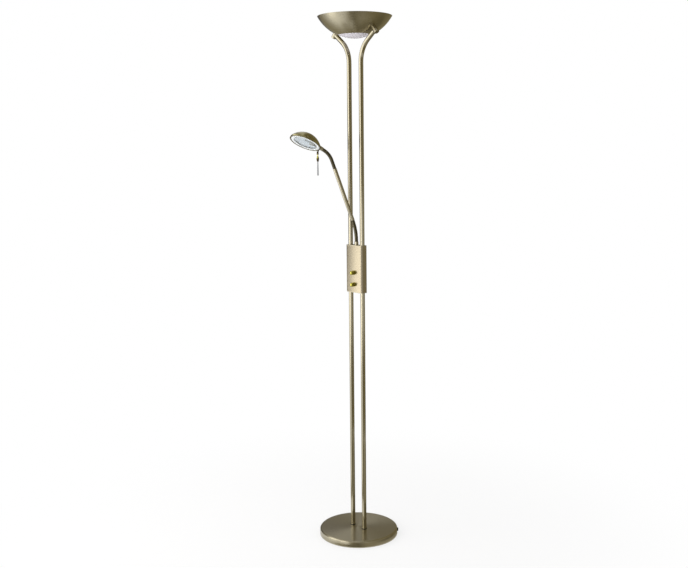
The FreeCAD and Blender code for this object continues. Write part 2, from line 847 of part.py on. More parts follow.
# Reading arm, built in the plane x = 0 and leaning towards -Y

class Station:
    """A point on the arm's centre line with its lean from the upright, in degrees."""

    def __init__(self, point, lean):
        self.point = point
        self.lean = lean

    def direction(self):
        lean = math.radians(self.lean)
        return Vector(0, -math.sin(lean), math.cos(lean))

    def ahead(self, distance):
        return Station(self.point + self.direction() * distance, self.lean)

    def bent(self, arc, bend):
        """The station at the end of an arc that adds a lean."""
        if abs(bend) < 1e-9:
            return self.ahead(arc)
        radius = arc / math.radians(bend)
        start = math.radians(self.lean)
        end = math.radians(self.lean + bend)
        step = Vector(0, -radius * (math.cos(start) - math.cos(end)),
                      radius * (math.sin(end) - math.sin(start)))
        return Station(self.point + step, self.lean + bend)

    def circle(self, radius):
        """A circle square to the centre line whose seam stays on the steady X axis."""
        ring = Part.makeCircle(radius)
        ring.Placement = Placement(self.point, Rotation(Vector(1, 0, 0), self.lean))
        return Part.Wire(ring)


class Hose:
    """A gooseneck: straight foot, one arc, straight end; plugs at both ends and ribs between."""

    def __init__(self, start, foot, arc, bend, plug_start, plug_end):
        self.start = start
        self.foot = foot
        self.arc = arc
        self.bend = bend
        self.plug_start = plug_start
        self.plug_end = plug_end
        self.length = foot + arc + hose_straight
        self.end = self.station(self.length)

    def station(self, distance):
        if distance <= self.foot:
            return self.start.ahead(distance)
        root = self.start.ahead(self.foot)
        part = distance - self.foot
        if part <= self.arc:
            return root.bent(part, self.bend * part / self.arc)
        return root.bent(self.arc, self.bend).ahead(part - self.arc)

    def hinge(self):
        """Where the two straight ends' centre lines cross."""
        half = math.radians(abs(self.bend) / 2)
        tangent = self.arc / math.radians(abs(self.bend)) * math.tan(half)
        return self.start.ahead(self.foot + tangent).point

    def solid(self):
        ribbed = self.length - self.plug_start - self.plug_end
        count = round(ribbed / hose_rib_pitch)
        pitch = ribbed / count
        rings = [self.station(0).circle(hose_plug_radius), self.station(self.plug_start).circle(hose_plug_radius)]
        for index in range(count):
            foot = self.plug_start + index * pitch
            for share, radius in ((0.04, hose_groove_radius), (0.3, hose_radius),
                                  (0.7, hose_radius), (0.96, hose_groove_radius)):
                rings.append(self.station(foot + share * pitch).circle(radius))
        rings.append(self.station(self.length - self.plug_end).circle(hose_plug_radius))
        rings.append(self.station(self.length).circle(hose_plug_radius))
        skin = Part.makeLoft(rings, True, True)
        bore_rings = [self.start.ahead(-1).circle(hose_bore / 2)]
        steps = 16
        for index in range(steps + 1):
            bore_rings.append(self.station(self.foot + self.arc * index / steps).circle(hose_bore / 2))
        bore_rings.append(self.end.ahead(1).circle(hose_bore / 2))
        return skin.cut(Part.makeLoft(bore_rings, True, True))


def arm_placed(shape):
    """Turn a piece of the arm from the plane x = 0 to the arm's own direction."""
    placed = shape.copy()
    placed.rotate(ORIGIN, UP, arm_turn)
    return placed


def arm_point(point):
    return Rotation(UP, arm_turn).multVec(point)


hose_seat = Station(Vector(0, 0, box_top + root_ferrule_base), 0.0)
lower_hose = Hose(hose_seat, hose_straight, lower_hose_arc, lower_hose_bend, root_plug_length, arm_plug_length)
tube_foot = lower_hose.end.ahead(-arm_plug_length)
tube_head = tube_foot.ahead(arm_tube_length)
upper_hose = Hose(tube_head.ahead(-arm_plug_length), upper_hose_foot, upper_hose_arc, upper_hose_bend,
                  arm_plug_length, neck_plug_length)
neck_seat = upper_hose.end


def make_arm_root_ferrule():
    """Turned ferrule on the top cap: cup for the gooseneck and a threaded stem below."""
    height = root_ferrule_base + root_plug_length
    body = cylinder(root_ferrule_diameter / 2, height, Vector(0, 0, box_top))
    body = body.makeFillet(1.0, [edge for edge in body.Edges if edge.Curve.TypeId == "Part::GeomCircle"
                                 and edge.CenterOfMass.z > box_top + 1])
    stem_length = box_cap_thickness + root_nut_height + root_stem_reach
    stem = cylinder(root_stem_diameter / 2, stem_length, Vector(0, 0, box_top - stem_length))
    cup = cylinder(hose_socket_radius, root_plug_length + 1, hose_seat.point)
    bore = cylinder(hose_bore / 2, stem_length + root_ferrule_base + 2, Vector(0, 0, box_top - stem_length - 1))
    return body.fuse(stem).cut(cup).cut(bore)


def make_arm_root_nut():
    base = Vector(0, 0, sleeve_top - root_nut_height)
    nut = hexagon(nut_across_flats, root_nut_height, base)
    return nut.cut(cylinder(root_stem_diameter / 2 + face_gap, root_nut_height + 2, base - UP))


def make_arm_tube():
    tube_shape = tube(arm_tube_diameter / 2, arm_tube_diameter / 2 - arm_tube_wall, arm_tube_length,
                      tube_foot.point, tube_foot.direction())
    return arm_placed(tube_shape)


# Reading head, built about its own axis: origin in the rim plane, +Z to the top of the dome,
# +Y to the neck

def neck_axis():
    """Outward direction of the neck, below the rim plane by its tilt."""
    tilt = math.radians(neck_tilt)
    return Vector(0, math.cos(tilt), -math.sin(tilt))


def neck_wall_point():
    """Where the neck's axis leaves the dome."""
    return Vector(0, dome_outer_radius(neck_height), neck_height)


def dome_outer_radius(height):
    if height <= head_skirt:
        return head_radius
    return sphere_depth(dome_sphere_radius, height - dome_sphere_height)


def saddle_length():
    """Length of the saddle outside the wall point, so that the ferrule clears the skirt."""
    tilt = math.radians(neck_tilt)
    overhang = head_radius - neck_wall_point().y + neck_ferrule_diameter / 2 * math.sin(tilt)
    return overhang / math.cos(tilt) + saddle_edge


def wedge_depth():
    """Distance inside the wall point at which a flat face a little wider than the nut clears the dome."""
    tilt = math.radians(neck_tilt)
    upward = Vector(0, math.sin(tilt), math.cos(tilt))
    corner = neck_wall_point() + upward * (neck_nut_across_flats / 2 + wedge_margin)
    arm = corner - Vector(0, 0, dome_sphere_height)
    reach = dome_inner_sphere - slip_gap
    along = arm.dot(neck_axis())
    return along - math.sqrt(along ** 2 - arm.dot(arm) + reach ** 2)


def head_placement():
    """Puts the head's frame on the end of the upper gooseneck."""
    mouth = neck_wall_point() + neck_axis() * (saddle_length() + face_gap + neck_ferrule_base)
    tilt_back = Rotation(Vector(1, 0, 0), neck_seat.lean - 90 + neck_tilt)
    facing = Rotation(neck_seat.direction(), head_roll)
    turn = Rotation(UP, arm_turn).multiply(facing).multiply(tilt_back)
    seat = arm_point(neck_seat.point)
    return Placement(seat - turn.multVec(mouth), turn)


def head_placed(shape):
    placed = shape.copy()
    placed.Placement = head_placement().multiply(shape.Placement)
    return placed


def make_neck_ferrule():
    """Ferrule on the gooseneck's end with a hollow stem that turns in the saddle and dome."""
    axis = neck_axis()
    wall = neck_wall_point()
    base = wall + axis * (saddle_length() + face_gap)
    length = neck_ferrule_base + neck_plug_length
    stem_length = saddle_length() + neck_nut_depth() + neck_nut_height + neck_stem_tip
    body = cylinder(neck_ferrule_diameter / 2, length, base, axis)
    mouth = base + axis * length
    body = body.makeFillet(0.8, [edge for edge in body.Edges if edge.Curve.TypeId == "Part::GeomCircle"
                                 and (edge.CenterOfMass - mouth).Length < 1])
    stem = cylinder(neck_stem_diameter / 2, stem_length, base, axis * -1)
    cup = cylinder(hose_socket_radius, neck_plug_length + 1, base + axis * neck_ferrule_base, axis)
    bore = cylinder(neck_stem_bore / 2, 60, base - axis * 30, axis)
    return body.fuse(stem).cut(cup).cut(bore)


def neck_bore(length):
    """Hole for the neck's stem, through both sides of the dome's wall."""
    axis = neck_axis()
    return cylinder(neck_stem_diameter / 2 + slip_gap, length, neck_wall_point() + axis * (length / 2), axis * -1)


def make_neck_saddle():
    """Collar between ferrule and dome, hollowed to the dome's curve and skirt."""
    axis = neck_axis()
    wall = neck_wall_point()
    collar = cylinder(neck_ferrule_diameter / 2, saddle_length() + wedge_depth(), wall + axis * saddle_length(),
                      axis * -1)
    ball = Part.makeSphere(dome_sphere_radius + face_gap, Vector(0, 0, dome_sphere_height))
    skirt = cylinder(head_radius + face_gap, head_skirt, Vector(0, 0, 0))
    return collar.cut(ball).cut(skirt).cut(neck_bore(2 * head_radius))


def make_neck_wedge():
    """Wedge inside the dome: one side follows its curve and the other is square to the neck."""
    axis = neck_axis()
    wall = neck_wall_point()
    plug = cylinder(neck_nut_across_flats / 2 + wedge_margin / 2, saddle_length() + wedge_depth(),
                    wall - axis * wedge_depth(), axis)
    ball = Part.makeSphere(dome_inner_sphere - slip_gap, Vector(0, 0, dome_sphere_height))
    room = cylinder(head_radius - head_wall - slip_gap, head_height,
                    Vector(0, 0, reflector_window_floor() + slip_gap))
    return plug.common(ball).common(room).cut(neck_bore(2 * head_radius))


def neck_nut_depth():
    return wedge_depth() + holder_bracket_thickness + 2 * face_gap


def make_neck_nut():
    axis = neck_axis()
    nut = hexagon(neck_nut_across_flats, neck_nut_height)
    nut = nut.cut(cylinder(neck_stem_diameter / 2 + face_gap, neck_nut_height + 2, UP * -1))
    nut.Placement = Placement(neck_wall_point() - axis * neck_nut_depth(), Rotation(UP, axis * -1))
    return nut


def make_head_dome():
    """Spun dome with a short straight skirt and a hole for the neck's stem."""
    inner_radius = head_radius - head_wall
    inner_skirt = dome_sphere_height + sphere_depth(dome_inner_sphere, inner_radius)
    half = head_radius / 2
    dome = turned([
        (head_radius, 0),
        (head_radius, head_skirt),
        (half, dome_sphere_height + sphere_depth(dome_sphere_radius, half), 0, head_height),
        (0, head_height - head_wall),
        (half, dome_sphere_height + sphere_depth(dome_inner_sphere, half), inner_radius, inner_skirt),
        (inner_radius, 0),
    ])
    return dome.cut(neck_bore(head_radius))


def make_head_ring():
    """Screwed-in ring: flange under the skirt, lip that the glass lies on, wall inside the skirt."""
    flange = ring_flange_diameter / 2
    lip = ring_lip_diameter / 2
    wall_outer = head_radius - head_wall - slip_gap
    wall_inner = wall_outer - ring_wall
    return turned([
        (lip, -ring_flange_thickness),
        (flange - 0.5, -ring_flange_thickness),
        (flange, -ring_flange_thickness + 0.5),
        (flange, 0),
        (wall_outer, 0),
        (wall_outer, ring_height),
        (wall_inner, ring_height),
        (wall_inner, 0),
        (lip, 0),
    ])


def glass_radius():
    return head_radius - head_wall - slip_gap - ring_wall - slip_gap


def make_head_glass():
    disc = cylinder(glass_radius(), glass_thickness)
    return disc.makeChamfer(0.4, [edge for edge in disc.Edges if edge.Curve.TypeId == "Part::GeomCircle"])


def reflector_window_floor():
    return glass_thickness + reflector_wall + slip_gap


def make_head_reflector():
    """Spun reflector with a flat flange on the glass and a window for the lamp holder."""
    rim = reflector_rim_diameter / 2
    foot = glass_thickness
    mouth = rim - reflector_flange
    rise = reflector_height - foot - reflector_wall
    sphere = (mouth ** 2 + rise ** 2) / (2 * rise)
    centre = foot + reflector_wall + rise - sphere
    half = mouth / 2
    outer = sphere + reflector_wall
    outer_mouth = math.sqrt(outer ** 2 - (foot + reflector_wall - centre) ** 2)
    reflector = turned([
        (mouth, foot),
        (rim, foot),
        (rim, foot + reflector_wall),
        (outer_mouth, foot + reflector_wall),
        (half, centre + sphere_depth(outer, half), 0, centre + outer),
        (0, centre + sphere),
        (half, centre + sphere_depth(sphere, half), mouth, foot + reflector_wall),
    ])
    window_start = holder_near - 0.5
    window_width = holder_width + 2 * holder_bracket_thickness + 1.6
    window = block(window_width, head_radius - window_start, head_height, 0,
                   (head_radius + window_start) / 2, reflector_window_floor())
    return reflector.cut(window)


def make_head_lamp_holder():
    """Ceramic holder with a cup for the capsule's foot and two pin holes."""
    length = holder_far - holder_near
    holder = block(holder_width, length, holder_height, 0, holder_near + length / 2, holder_floor)
    axis_height = holder_floor + holder_height / 2
    cup = cylinder(capsule_diameter / 2 + hole_gap, 2.5, Vector(0, holder_near - 1, axis_height), Vector(0, 1, 0))
    holder = holder.cut(cup)
    for side in (-1, 1):
        pin_hole = cylinder(capsule_pin_diameter / 2 + slip_gap, capsule_pin_length + 3,
                            Vector(side * 2, holder_near, axis_height), Vector(0, 1, 0))
        holder = holder.cut(pin_hole)
    return holder


def make_head_lamp_bracket():
    """Folded clip: a plate clamped by the nut and two cheeks that grip the holder."""
    axis = neck_axis()
    thick = holder_bracket_thickness
    width = holder_width + 2 * (thick + face_gap)
    seat = neck_wall_point() - axis * (wedge_depth() + face_gap)
    plate = block(width, neck_nut_across_flats + wedge_margin, thick, 0, 0, 0)
    plate.Placement = Placement(seat, Rotation(UP, axis * -1))
    behind = block(4 * width, 4 * width, 4 * width, 0, 0, 0)
    behind.Placement = Placement(seat, Rotation(UP, axis * -1))
    bottom = holder_floor + (holder_height - holder_flange_height) / 2
    shapes = [plate]
    for side in (-1, 1):
        cheek = block(thick, seat.y + 4 - holder_near, holder_flange_height, side * (width - thick) / 2,
                      (seat.y + 4 + holder_near) / 2, bottom)
        shapes.append(cheek.common(behind))
    room = Part.makeSphere(dome_inner_sphere - slip_gap, Vector(0, 0, dome_sphere_height))
    return fused(shapes).common(room).cut(neck_bore(2 * head_radius))


def make_head_lamp():
    """Halogen capsule lying along the reflector, its pins in the holder."""
    axis_height = holder_floor + holder_height / 2
    radius = capsule_diameter / 2
    start = holder_near + 1.5 - face_gap
    body = cylinder(radius, capsule_length, Vector(0, start, axis_height), Vector(0, -1, 0))
    tip = start - capsule_length
    body = body.makeFillet(radius * 0.8, [edge for edge in body.Edges
                                          if edge.Curve.TypeId == "Part::GeomCircle"
                                          and abs(edge.CenterOfMass.y - tip) < 1])
    pins = [cylinder(capsule_pin_diameter / 2, capsule_pin_length + 1,
                     Vector(side * 2, start - 1, axis_height), Vector(0, 1, 0)) for side in (-1, 1)]
    return fused([body] + pins)


# Handle

class Handle:
    """Where the handle's lug, link and drop hang, in the lamp's frame."""

    def __init__(self):
        place = head_placement()
        angle = math.radians(90 + handle_angle)
        foot = Vector(handle_radius * math.cos(angle), handle_radius * math.sin(angle), -ring_flange_thickness)
        pivot = foot - Vector(0, 0, lug_drop)
        self.foot = place.multVec(foot)
        self.upper_pivot = place.multVec(pivot)
        self.lower_pivot = self.upper_pivot - UP * link_length
        self.normal = place.Rotation.multVec(UP)
        self.upper_axis = UP.cross(self.normal).normalize()
        self.lower_axis = UP.cross(self.upper_axis).normalize()


handle = Handle()


def pivot_disc(radius, thickness, centre, axis):
    return cylinder(radius, thickness, centre - axis * (thickness / 2), axis)


def oriented_block(width, thickness, height, foot, across, up):
    """A block that rises from its foot along up, thin along across."""
    deep = up.cross(across).normalize()
    corner = foot - across * (thickness / 2) - deep * (width / 2)
    outline = [corner, corner + across * thickness, corner + across * thickness + deep * width,
               corner + deep * width, corner]
    return Part.Face(Part.makePolygon(outline)).extrude(up * height)


def make_handle_lug():
    """Tongue under the ring with a rounded end round its pin."""
    eye = pivot_disc(eye_diameter / 2, lug_thickness, handle.upper_pivot, handle.upper_axis)
    stem = oriented_block(lug_width, lug_thickness, lug_drop - face_gap, handle.upper_pivot,
                          handle.upper_axis, handle.normal)
    lug = eye.fuse(stem).removeSplitter()
    return lug.cut(pivot_disc(pin_diameter / 2 + face_gap, 3 * lug_thickness, handle.upper_pivot,
                              handle.upper_axis))


def link_slot(pivot, axis, up):
    """Slot of a fork: open at its end and at both sides."""
    depth = eye_diameter / 2 + link_slot_gap
    width = lug_thickness + 2 * link_slot_gap
    return oriented_block(2 * link_diameter, width, depth + link_length, pivot - up * depth, axis, up)


def make_handle_link():
    """Barrel with a fork at each end, the two forks a quarter turn apart."""
    low = handle.lower_pivot - UP * link_end
    barrel = cylinder(link_diameter / 2, link_length + 2 * link_end, low)
    barrel = barrel.makeFillet(0.8, [edge for edge in barrel.Edges if edge.Curve.TypeId == "Part::GeomCircle"])
    for pivot, axis, up in ((handle.upper_pivot, handle.upper_axis, UP),
                            (handle.lower_pivot, handle.lower_axis, UP * -1)):
        barrel = barrel.cut(link_slot(pivot, axis, up))
        barrel = barrel.cut(pivot_disc(pin_diameter / 2 + face_gap, 2 * link_diameter, pivot, axis))
    return barrel


def make_handle_pins():
    length = link_diameter - 0.6
    return Part.makeCompound([
        pivot_disc(pin_diameter / 2, length, handle.upper_pivot, handle.upper_axis),
        pivot_disc(pin_diameter / 2, length, handle.lower_pivot, handle.lower_axis),
    ])


def make_handle_cap():
    """Brass drop: tongue in the lower fork, slender neck, spindle body, bore for the rod."""
    neck = cap_neck_diameter / 2
    widest = cap_diameter / 2
    foot = cap_foot_diameter / 2
    drop = turned([
        (0, -cap_neck_length + 0.5),
        (neck, -cap_neck_length + 0.5),
        (neck, -cap_neck_length - 0.5),
        (widest * 0.78, -cap_neck_length - cap_length * 0.25, widest, -cap_neck_length - cap_length * 0.5),
        (widest * 0.86, -cap_neck_length - cap_length * 0.75, foot, -cap_neck_length - cap_length),
        (0, -cap_neck_length - cap_length),
    ])
    drop.translate(handle.lower_pivot)
    eye = pivot_disc(eye_diameter / 2, lug_thickness, handle.lower_pivot, handle.lower_axis)
    tongue = oriented_block(cap_neck_diameter, lug_thickness, cap_neck_length, handle.lower_pivot,
                            handle.lower_axis, UP * -1)
    cap = drop.fuse(eye).fuse(tongue)
    cap = cap.cut(pivot_disc(pin_diameter / 2 + face_gap, 3 * lug_thickness, handle.lower_pivot,
                             handle.lower_axis))
    socket_bottom = handle.lower_pivot - UP * (cap_neck_length + cap_length + 1)
    return cap.cut(cylinder(rod_stem_diameter / 2 + face_gap, rod_stem_length + 1 + face_gap, socket_bottom))


def make_handle_rod():
    """Clear rod that widens downwards to a rounded end."""
    top = rod_top_diameter / 2
    end = rod_end_diameter / 2
    stem = rod_stem_diameter / 2
    slant = math.sqrt(0.5)
    rod = turned([
        (0, rod_stem_length),
        (stem, rod_stem_length),
        (stem, 0),
        (top, 0),
        (end, end - rod_length),
        (end * slant, end - rod_length - end * slant, 0, -rod_length),
    ])
    rod.translate(handle.lower_pivot - UP * (cap_neck_length + cap_length + face_gap))
    return rod


def report_axes():
    """Print the joint points and axes that the moving pieces turn about."""
    place = head_placement()
    rows = {
        "arm_turn": (ORIGIN, UP),
        "arm_bend": (arm_point(lower_hose.hinge()), arm_point(Vector(1, 0, 0))),
        "neck_bend": (arm_point(upper_hose.hinge()), arm_point(Vector(1, 0, 0))),
        "head_turn": (arm_point(neck_seat.point), arm_point(neck_seat.direction())),
        "link_swing": (handle.upper_pivot, handle.upper_axis),
        "handle_swing": (handle.lower_pivot, handle.lower_axis),
        "head_centre": (place.Base, place.Rotation.multVec(UP)),
        "handle_rest": (handle.lower_pivot, UP),
    }
    for name, (point, axis) in rows.items():
        print(name, [round(value, 4) for value in point], [round(value, 6) for value in axis])


def main():
    os.makedirs(PARTS, exist_ok=True)
    save(make_base_cover(), "base_cover")
    save(make_base_weight(), "base_weight")
    save(make_base_pad(), "base_pad")
    save(make_cord_gland(), "cord_gland")
    save(make_pole_nuts(), "pole_nuts")
    save(make_pole_nipples(), "pole_nipples")
    save(make_pole_plugs(), "pole_plugs")
    for name, side in (("left", -1), ("right", 1)):
        save(make_lower_pole(side), "lower_pole_" + name)
        save(make_upper_pole(side), "upper_pole_" + name)
        save(make_boss(side), "boss_" + name)
        save(make_lamp_socket(side), "lamp_socket_" + name)
    save(make_pole_couplers(), "pole_couplers")
    save(make_box_sleeve(), "box_sleeve")
    save(make_box_top_cap(), "box_top_cap")
    save(make_box_bottom_cap(), "box_bottom_cap")
    save(make_tie_rods(), "tie_rods")
    save(make_pole_clamp(), "pole_clamp")
    save(make_grub_screws(), "grub_screws")
    save(make_dimmer_nuts(), "dimmer_nuts")
    save(make_terminal_block(), "terminal_block")
    for name, height in knob_heights.items():
        save(make_dimmer(height), "dimmer_" + name)
        save(make_dimmer_shaft(height), "dimmer_shaft_" + name)
        save(make_knob(height), "knob_" + name)
    save(make_bowl(), "bowl")
    save(make_boss_screws(), "boss_screws")
    save(make_glass_dish(), "glass_dish")
    save(make_lamp_bracket(), "lamp_bracket")
    save(make_linear_lamp(), "linear_lamp")
    save(make_arm_root_ferrule(), "arm_root_ferrule")
    save(make_arm_root_nut(), "arm_root_nut")
    save(arm_placed(lower_hose.solid()), "lower_gooseneck")
    save(make_arm_tube(), "arm_tube")
    save(arm_placed(upper_hose.solid()), "upper_gooseneck")
    save(head_placed(make_neck_ferrule()), "neck_ferrule")
    save(head_placed(make_neck_nut()), "neck_nut")
    save(head_placed(make_neck_saddle()), "neck_saddle")
    save(head_placed(make_neck_wedge()), "neck_wedge")
    save(head_placed(make_head_dome()), "head_dome")
    save(head_placed(make_head_ring()), "head_ring")
    save(head_placed(make_head_glass()), "head_glass")
    save(head_placed(make_head_reflector()), "head_reflector")
    save(head_placed(make_head_lamp_holder()), "head_lamp_holder")
    save(head_placed(make_head_lamp_bracket()), "head_lamp_bracket")
    save(head_placed(make_head_lamp()), "head_lamp")
    save(make_handle_lug(), "handle_lug")
    save(make_handle_link(), "handle_link")
    save(make_handle_pins(), "handle_pins")
    save(make_handle_cap(), "handle_cap")
    save(make_handle_rod(), "handle_rod")
    report_axes()


main()
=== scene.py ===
"""Torchiere floor lamp with a reading light: finishes, goosenecks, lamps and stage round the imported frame."""

import json
import math

import bpy
import numpy as np
from bpy.props import FloatProperty, FloatVectorProperty, IntProperty, PointerProperty
from mathutils import Matrix, Vector


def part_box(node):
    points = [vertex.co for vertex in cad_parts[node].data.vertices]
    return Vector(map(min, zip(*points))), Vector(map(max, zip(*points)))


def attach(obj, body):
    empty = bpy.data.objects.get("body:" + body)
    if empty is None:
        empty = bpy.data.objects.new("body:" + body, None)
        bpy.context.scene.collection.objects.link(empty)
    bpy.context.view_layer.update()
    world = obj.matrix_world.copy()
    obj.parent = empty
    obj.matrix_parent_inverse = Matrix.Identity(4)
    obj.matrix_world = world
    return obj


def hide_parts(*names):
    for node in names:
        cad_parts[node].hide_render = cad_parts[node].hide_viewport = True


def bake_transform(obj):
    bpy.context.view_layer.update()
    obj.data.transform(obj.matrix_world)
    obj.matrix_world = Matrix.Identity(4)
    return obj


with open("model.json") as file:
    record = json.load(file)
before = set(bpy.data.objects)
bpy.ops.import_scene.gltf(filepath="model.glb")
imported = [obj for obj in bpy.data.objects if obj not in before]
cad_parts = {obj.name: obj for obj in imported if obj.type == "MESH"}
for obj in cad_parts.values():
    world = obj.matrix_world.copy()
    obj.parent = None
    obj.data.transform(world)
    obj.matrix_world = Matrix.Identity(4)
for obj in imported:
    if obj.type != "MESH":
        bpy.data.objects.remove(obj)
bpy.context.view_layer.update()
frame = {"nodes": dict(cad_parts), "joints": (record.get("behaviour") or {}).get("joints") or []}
NODES = frame["nodes"]
JOINTS = {joint["name"]: joint for joint in frame["joints"]}

bl_info = {
    "name": "Torchiere floor lamp",
    "version": (1, 0, 0),
    "blender": (4, 5, 0),
    "location": "3D View > Sidebar > Floor lamp",
    "description": "Finishes, goosenecks and lamps of a torchiere floor lamp with a reading light",
    "category": "Object",
}

# One millimetre in Blender's metres
MM = 0.001


def linear(code):
    """An sRGB hex colour as linear red, green, blue and alpha."""
    values = [int(code[at:at + 2], 16) / 255 for at in (1, 3, 5)]
    return [value / 12.92 if value <= 0.04045 else ((value + 0.055) / 1.055) ** 2.4 for value in values] + [1.0]


# Settings of the pieces, finishes and stage

# Lengths: what each is, and its default
SIZES = {
    "wire": ("Width of one turn of the gooseneck's wound wire", 2.8 * MM),
    "wire_depth": ("Depth of the groove between two turns", 0.6 * MM),
    "hose_radius": ("Outer radius of both goosenecks", 6.0 * MM),
    "plug_radius": ("Radius of a gooseneck's plain ends", 5.4 * MM),
    "coil": ("Radius of the tungsten coils", 0.9 * MM),
    "coil_wire": ("Radius of the wire of the coils", 0.22 * MM),
    "lead": ("Radius of the sleeved leads in the bowl", 1.3 * MM),
    "seal": ("Radius of the section of the seals at the poles' feet", 0.85 * MM),
    "reflector_wall": ("Thickness of the reading head's reflector", 0.8 * MM),
}

# Colours: what each is on, and its sRGB code
COLOURS = {
    "champagne": ("Lacquered steel of bowl, poles, base and box caps", "#A8A18B"),
    "box": ("Lacquered steel of the control box's sleeve", "#9F957F"),
    # The dome's colour is the champagne lacquer made darker: the darkness is painted shade
    "dome": ("Lacquered steel of the reading head", "#9C9469"),
    "brass": ("Polished brass of knobs and handle cap", "#CBC45C"),
    "trim": ("Polished ring of the reading head", "#86826F"),
    "steel": ("Bright steel of brackets and shafts", "#B9B8B4"),
    "zinc": ("Zinc plating of nuts and screws", "#9FA3A6"),
    "gooseneck": ("Blackened wire of the goosenecks", "#6A6450"),
    "bronze": ("Darkened brass of the handle's lug and link", "#4D4126"),
    "iron": ("Cast weight in the base", "#3A3A3B"),
    "felt": ("Felt under the base", "#1F1E1D"),
    "rubber": ("Rubber of the cord gland and the poles' seals", "#121212"),
    "dark_plastic": ("Cases of the dimmers and bushes of the leads", "#1B1B1D"),
    "pale_plastic": ("Terminal block", "#E6E2D6"),
    "ceramic": ("Steatite of the lamp holders", "#ECE8DF"),
    "frosted": ("Dish under the uplighter's lamp", "#E4E0E8"),
    "glass": ("Disc in the reading head, and both lamps", "#F2F6F8"),
    "reflector": ("Anodised aluminium of the reflector", "#EEF3FA"),
    "acrylic": ("Clear rod of the handle", "#9B9C9E"),
    "sleeve": ("Silicone sleeving of the leads", "#D9D4C6"),
    "tungsten": ("Filaments", "#8C8A88"),
    "floor": ("Studio floor and backdrop", "#FFFFFF"),
}


def label(key):
    """A setting's name in the sidebar."""
    return key.replace("_", " ").capitalize()


class LampSizes(bpy.types.PropertyGroup):
    """Sizes of the pieces that are modelled here."""

    __annotations__ = {key: FloatProperty(name=label(key), description=text, default=length, min=0, unit="LENGTH",
                                          precision=5) for key, (text, length) in SIZES.items()}
    facets: IntProperty(name="Facets", description="Facets in one ring of the reflector", default=20, min=8)
    facet_rings: IntProperty(name="Facet rings", description="Rings of facets in the reflector", default=5, min=3)


class LampColours(bpy.types.PropertyGroup):
    """Colours of the lamp's finishes."""

    __annotations__ = {key: FloatVectorProperty(name=label(key), description=text, default=linear(code), min=0, max=1,
                                                size=4, subtype="COLOR") for key, (text, code) in COLOURS.items()}


class LampStage(bpy.types.PropertyGroup):
    """Light and camera of the studio."""

    side_light: FloatProperty(name="Side light", description="Radiance of the soft box on the left", default=1.65)
    strip_light: FloatProperty(name="Strip light", description="Radiance of the box beside the camera", default=2.2)
    ambient: FloatProperty(name="Ambient", description="Soft light from all round", default=0.75)
    camera_azimuth: FloatProperty(name="Azimuth", description="Camera's bearing", default=math.radians(47.0),
                                  subtype="ANGLE")
    camera_distance: FloatProperty(name="Distance", description="Camera to the lamp's axis", default=3.291,
                                   unit="LENGTH")
    camera_height: FloatProperty(name="Height", description="Camera above the floor", default=1.362, unit="LENGTH")
    camera_lens: FloatProperty(name="Lens", description="Focal length on a 36 mm sensor", default=50.285)


# Lengths and places that the part's source gives these pieces, repeated here

# From the left pole to the right one, from front to back, and upright
ALONG, ACROSS, UP = np.eye(3)

# Goosenecks: straight at both ends, with one arc between them; the ends sit in ferrules as plain plugs
ARM_TURN = math.radians(-33.0)
HOSE_STRAIGHT = 12.0 * MM
LOWER_ARC = 71.0 * MM
LOWER_BEND = math.radians(19.0)
UPPER_FOOT = 38.9 * MM
UPPER_ARC = 43.8 * MM
UPPER_BEND = math.radians(37.0)
SEAT_RISE = 2.0 * MM
TUBE_LENGTH = 186.0 * MM
PLUG = 10.0 * MM
NECK_PLUG = 7.0 * MM

# Reading head
REFLECTOR_MOUTH = 47.0 * MM
REFLECTOR_RISE = 17.7 * MM
REFLECTOR_FLANGE = 49.0 * MM
GLASS_THICKNESS = 2.5 * MM
WINDOW_WIDTH = 16.6 * MM
WINDOW_START = 14.5 * MM
WINDOW_FLOOR = 3.4 * MM
CAPSULE_RISE = 10.5 * MM

# Bowl, and the two screws on a circle of its underside that hold it on its bosses
BOWL_RADIUS = 144.34 * MM
BOWL_RISE = 72.17 * MM
SCREW_RADIUS = 90.0 * MM
SCREW_LIFT = 6.2 * MM
BOSS_SLOPE = math.asin(SCREW_RADIUS / BOWL_RADIUS)


# Surfaces: a shape is a function of two parameters on a grid

def unit(vector):
    """A vector at length one."""
    vector = np.asarray(vector, float)
    return vector / np.linalg.norm(vector)


def grid_faces(rows, columns, closed):
    """Quads between neighbouring rows and columns; a closed grid joins its last column to its first."""
    row, column = np.meshgrid(np.arange(rows - 1), np.arange(columns if closed else columns - 1), indexing="ij")
    after = (column + 1) % columns
    corners = [row * columns + column, row * columns + after, (row + 1) * columns + after,
               (row + 1) * columns + column]
    return np.stack(corners, -1).reshape(-1, 4)


def fan_faces(ring, centre, outwards):
    """Triangles from a ring's points to one centre point."""
    after = np.roll(ring, -1)
    middle = np.full(len(ring), centre)
    return np.stack([ring, after, middle] if outwards else [after, ring, middle], -1)


def shown(name, data):
    """A new object for a mesh, light or camera, linked into the scene."""
    made = bpy.data.objects.new(name, data)
    bpy.context.scene.collection.objects.link(made)
    return made


def lay_map(mesh, name, uv):
    """A UV map from one pair of coordinates for each point."""
    corners = np.empty(len(mesh.loops), int)
    mesh.loops.foreach_get("vertex_index", corners)
    mesh.uv_layers.new(name=name).data.foreach_set("uv", np.asarray(uv, np.float32)[corners].ravel())


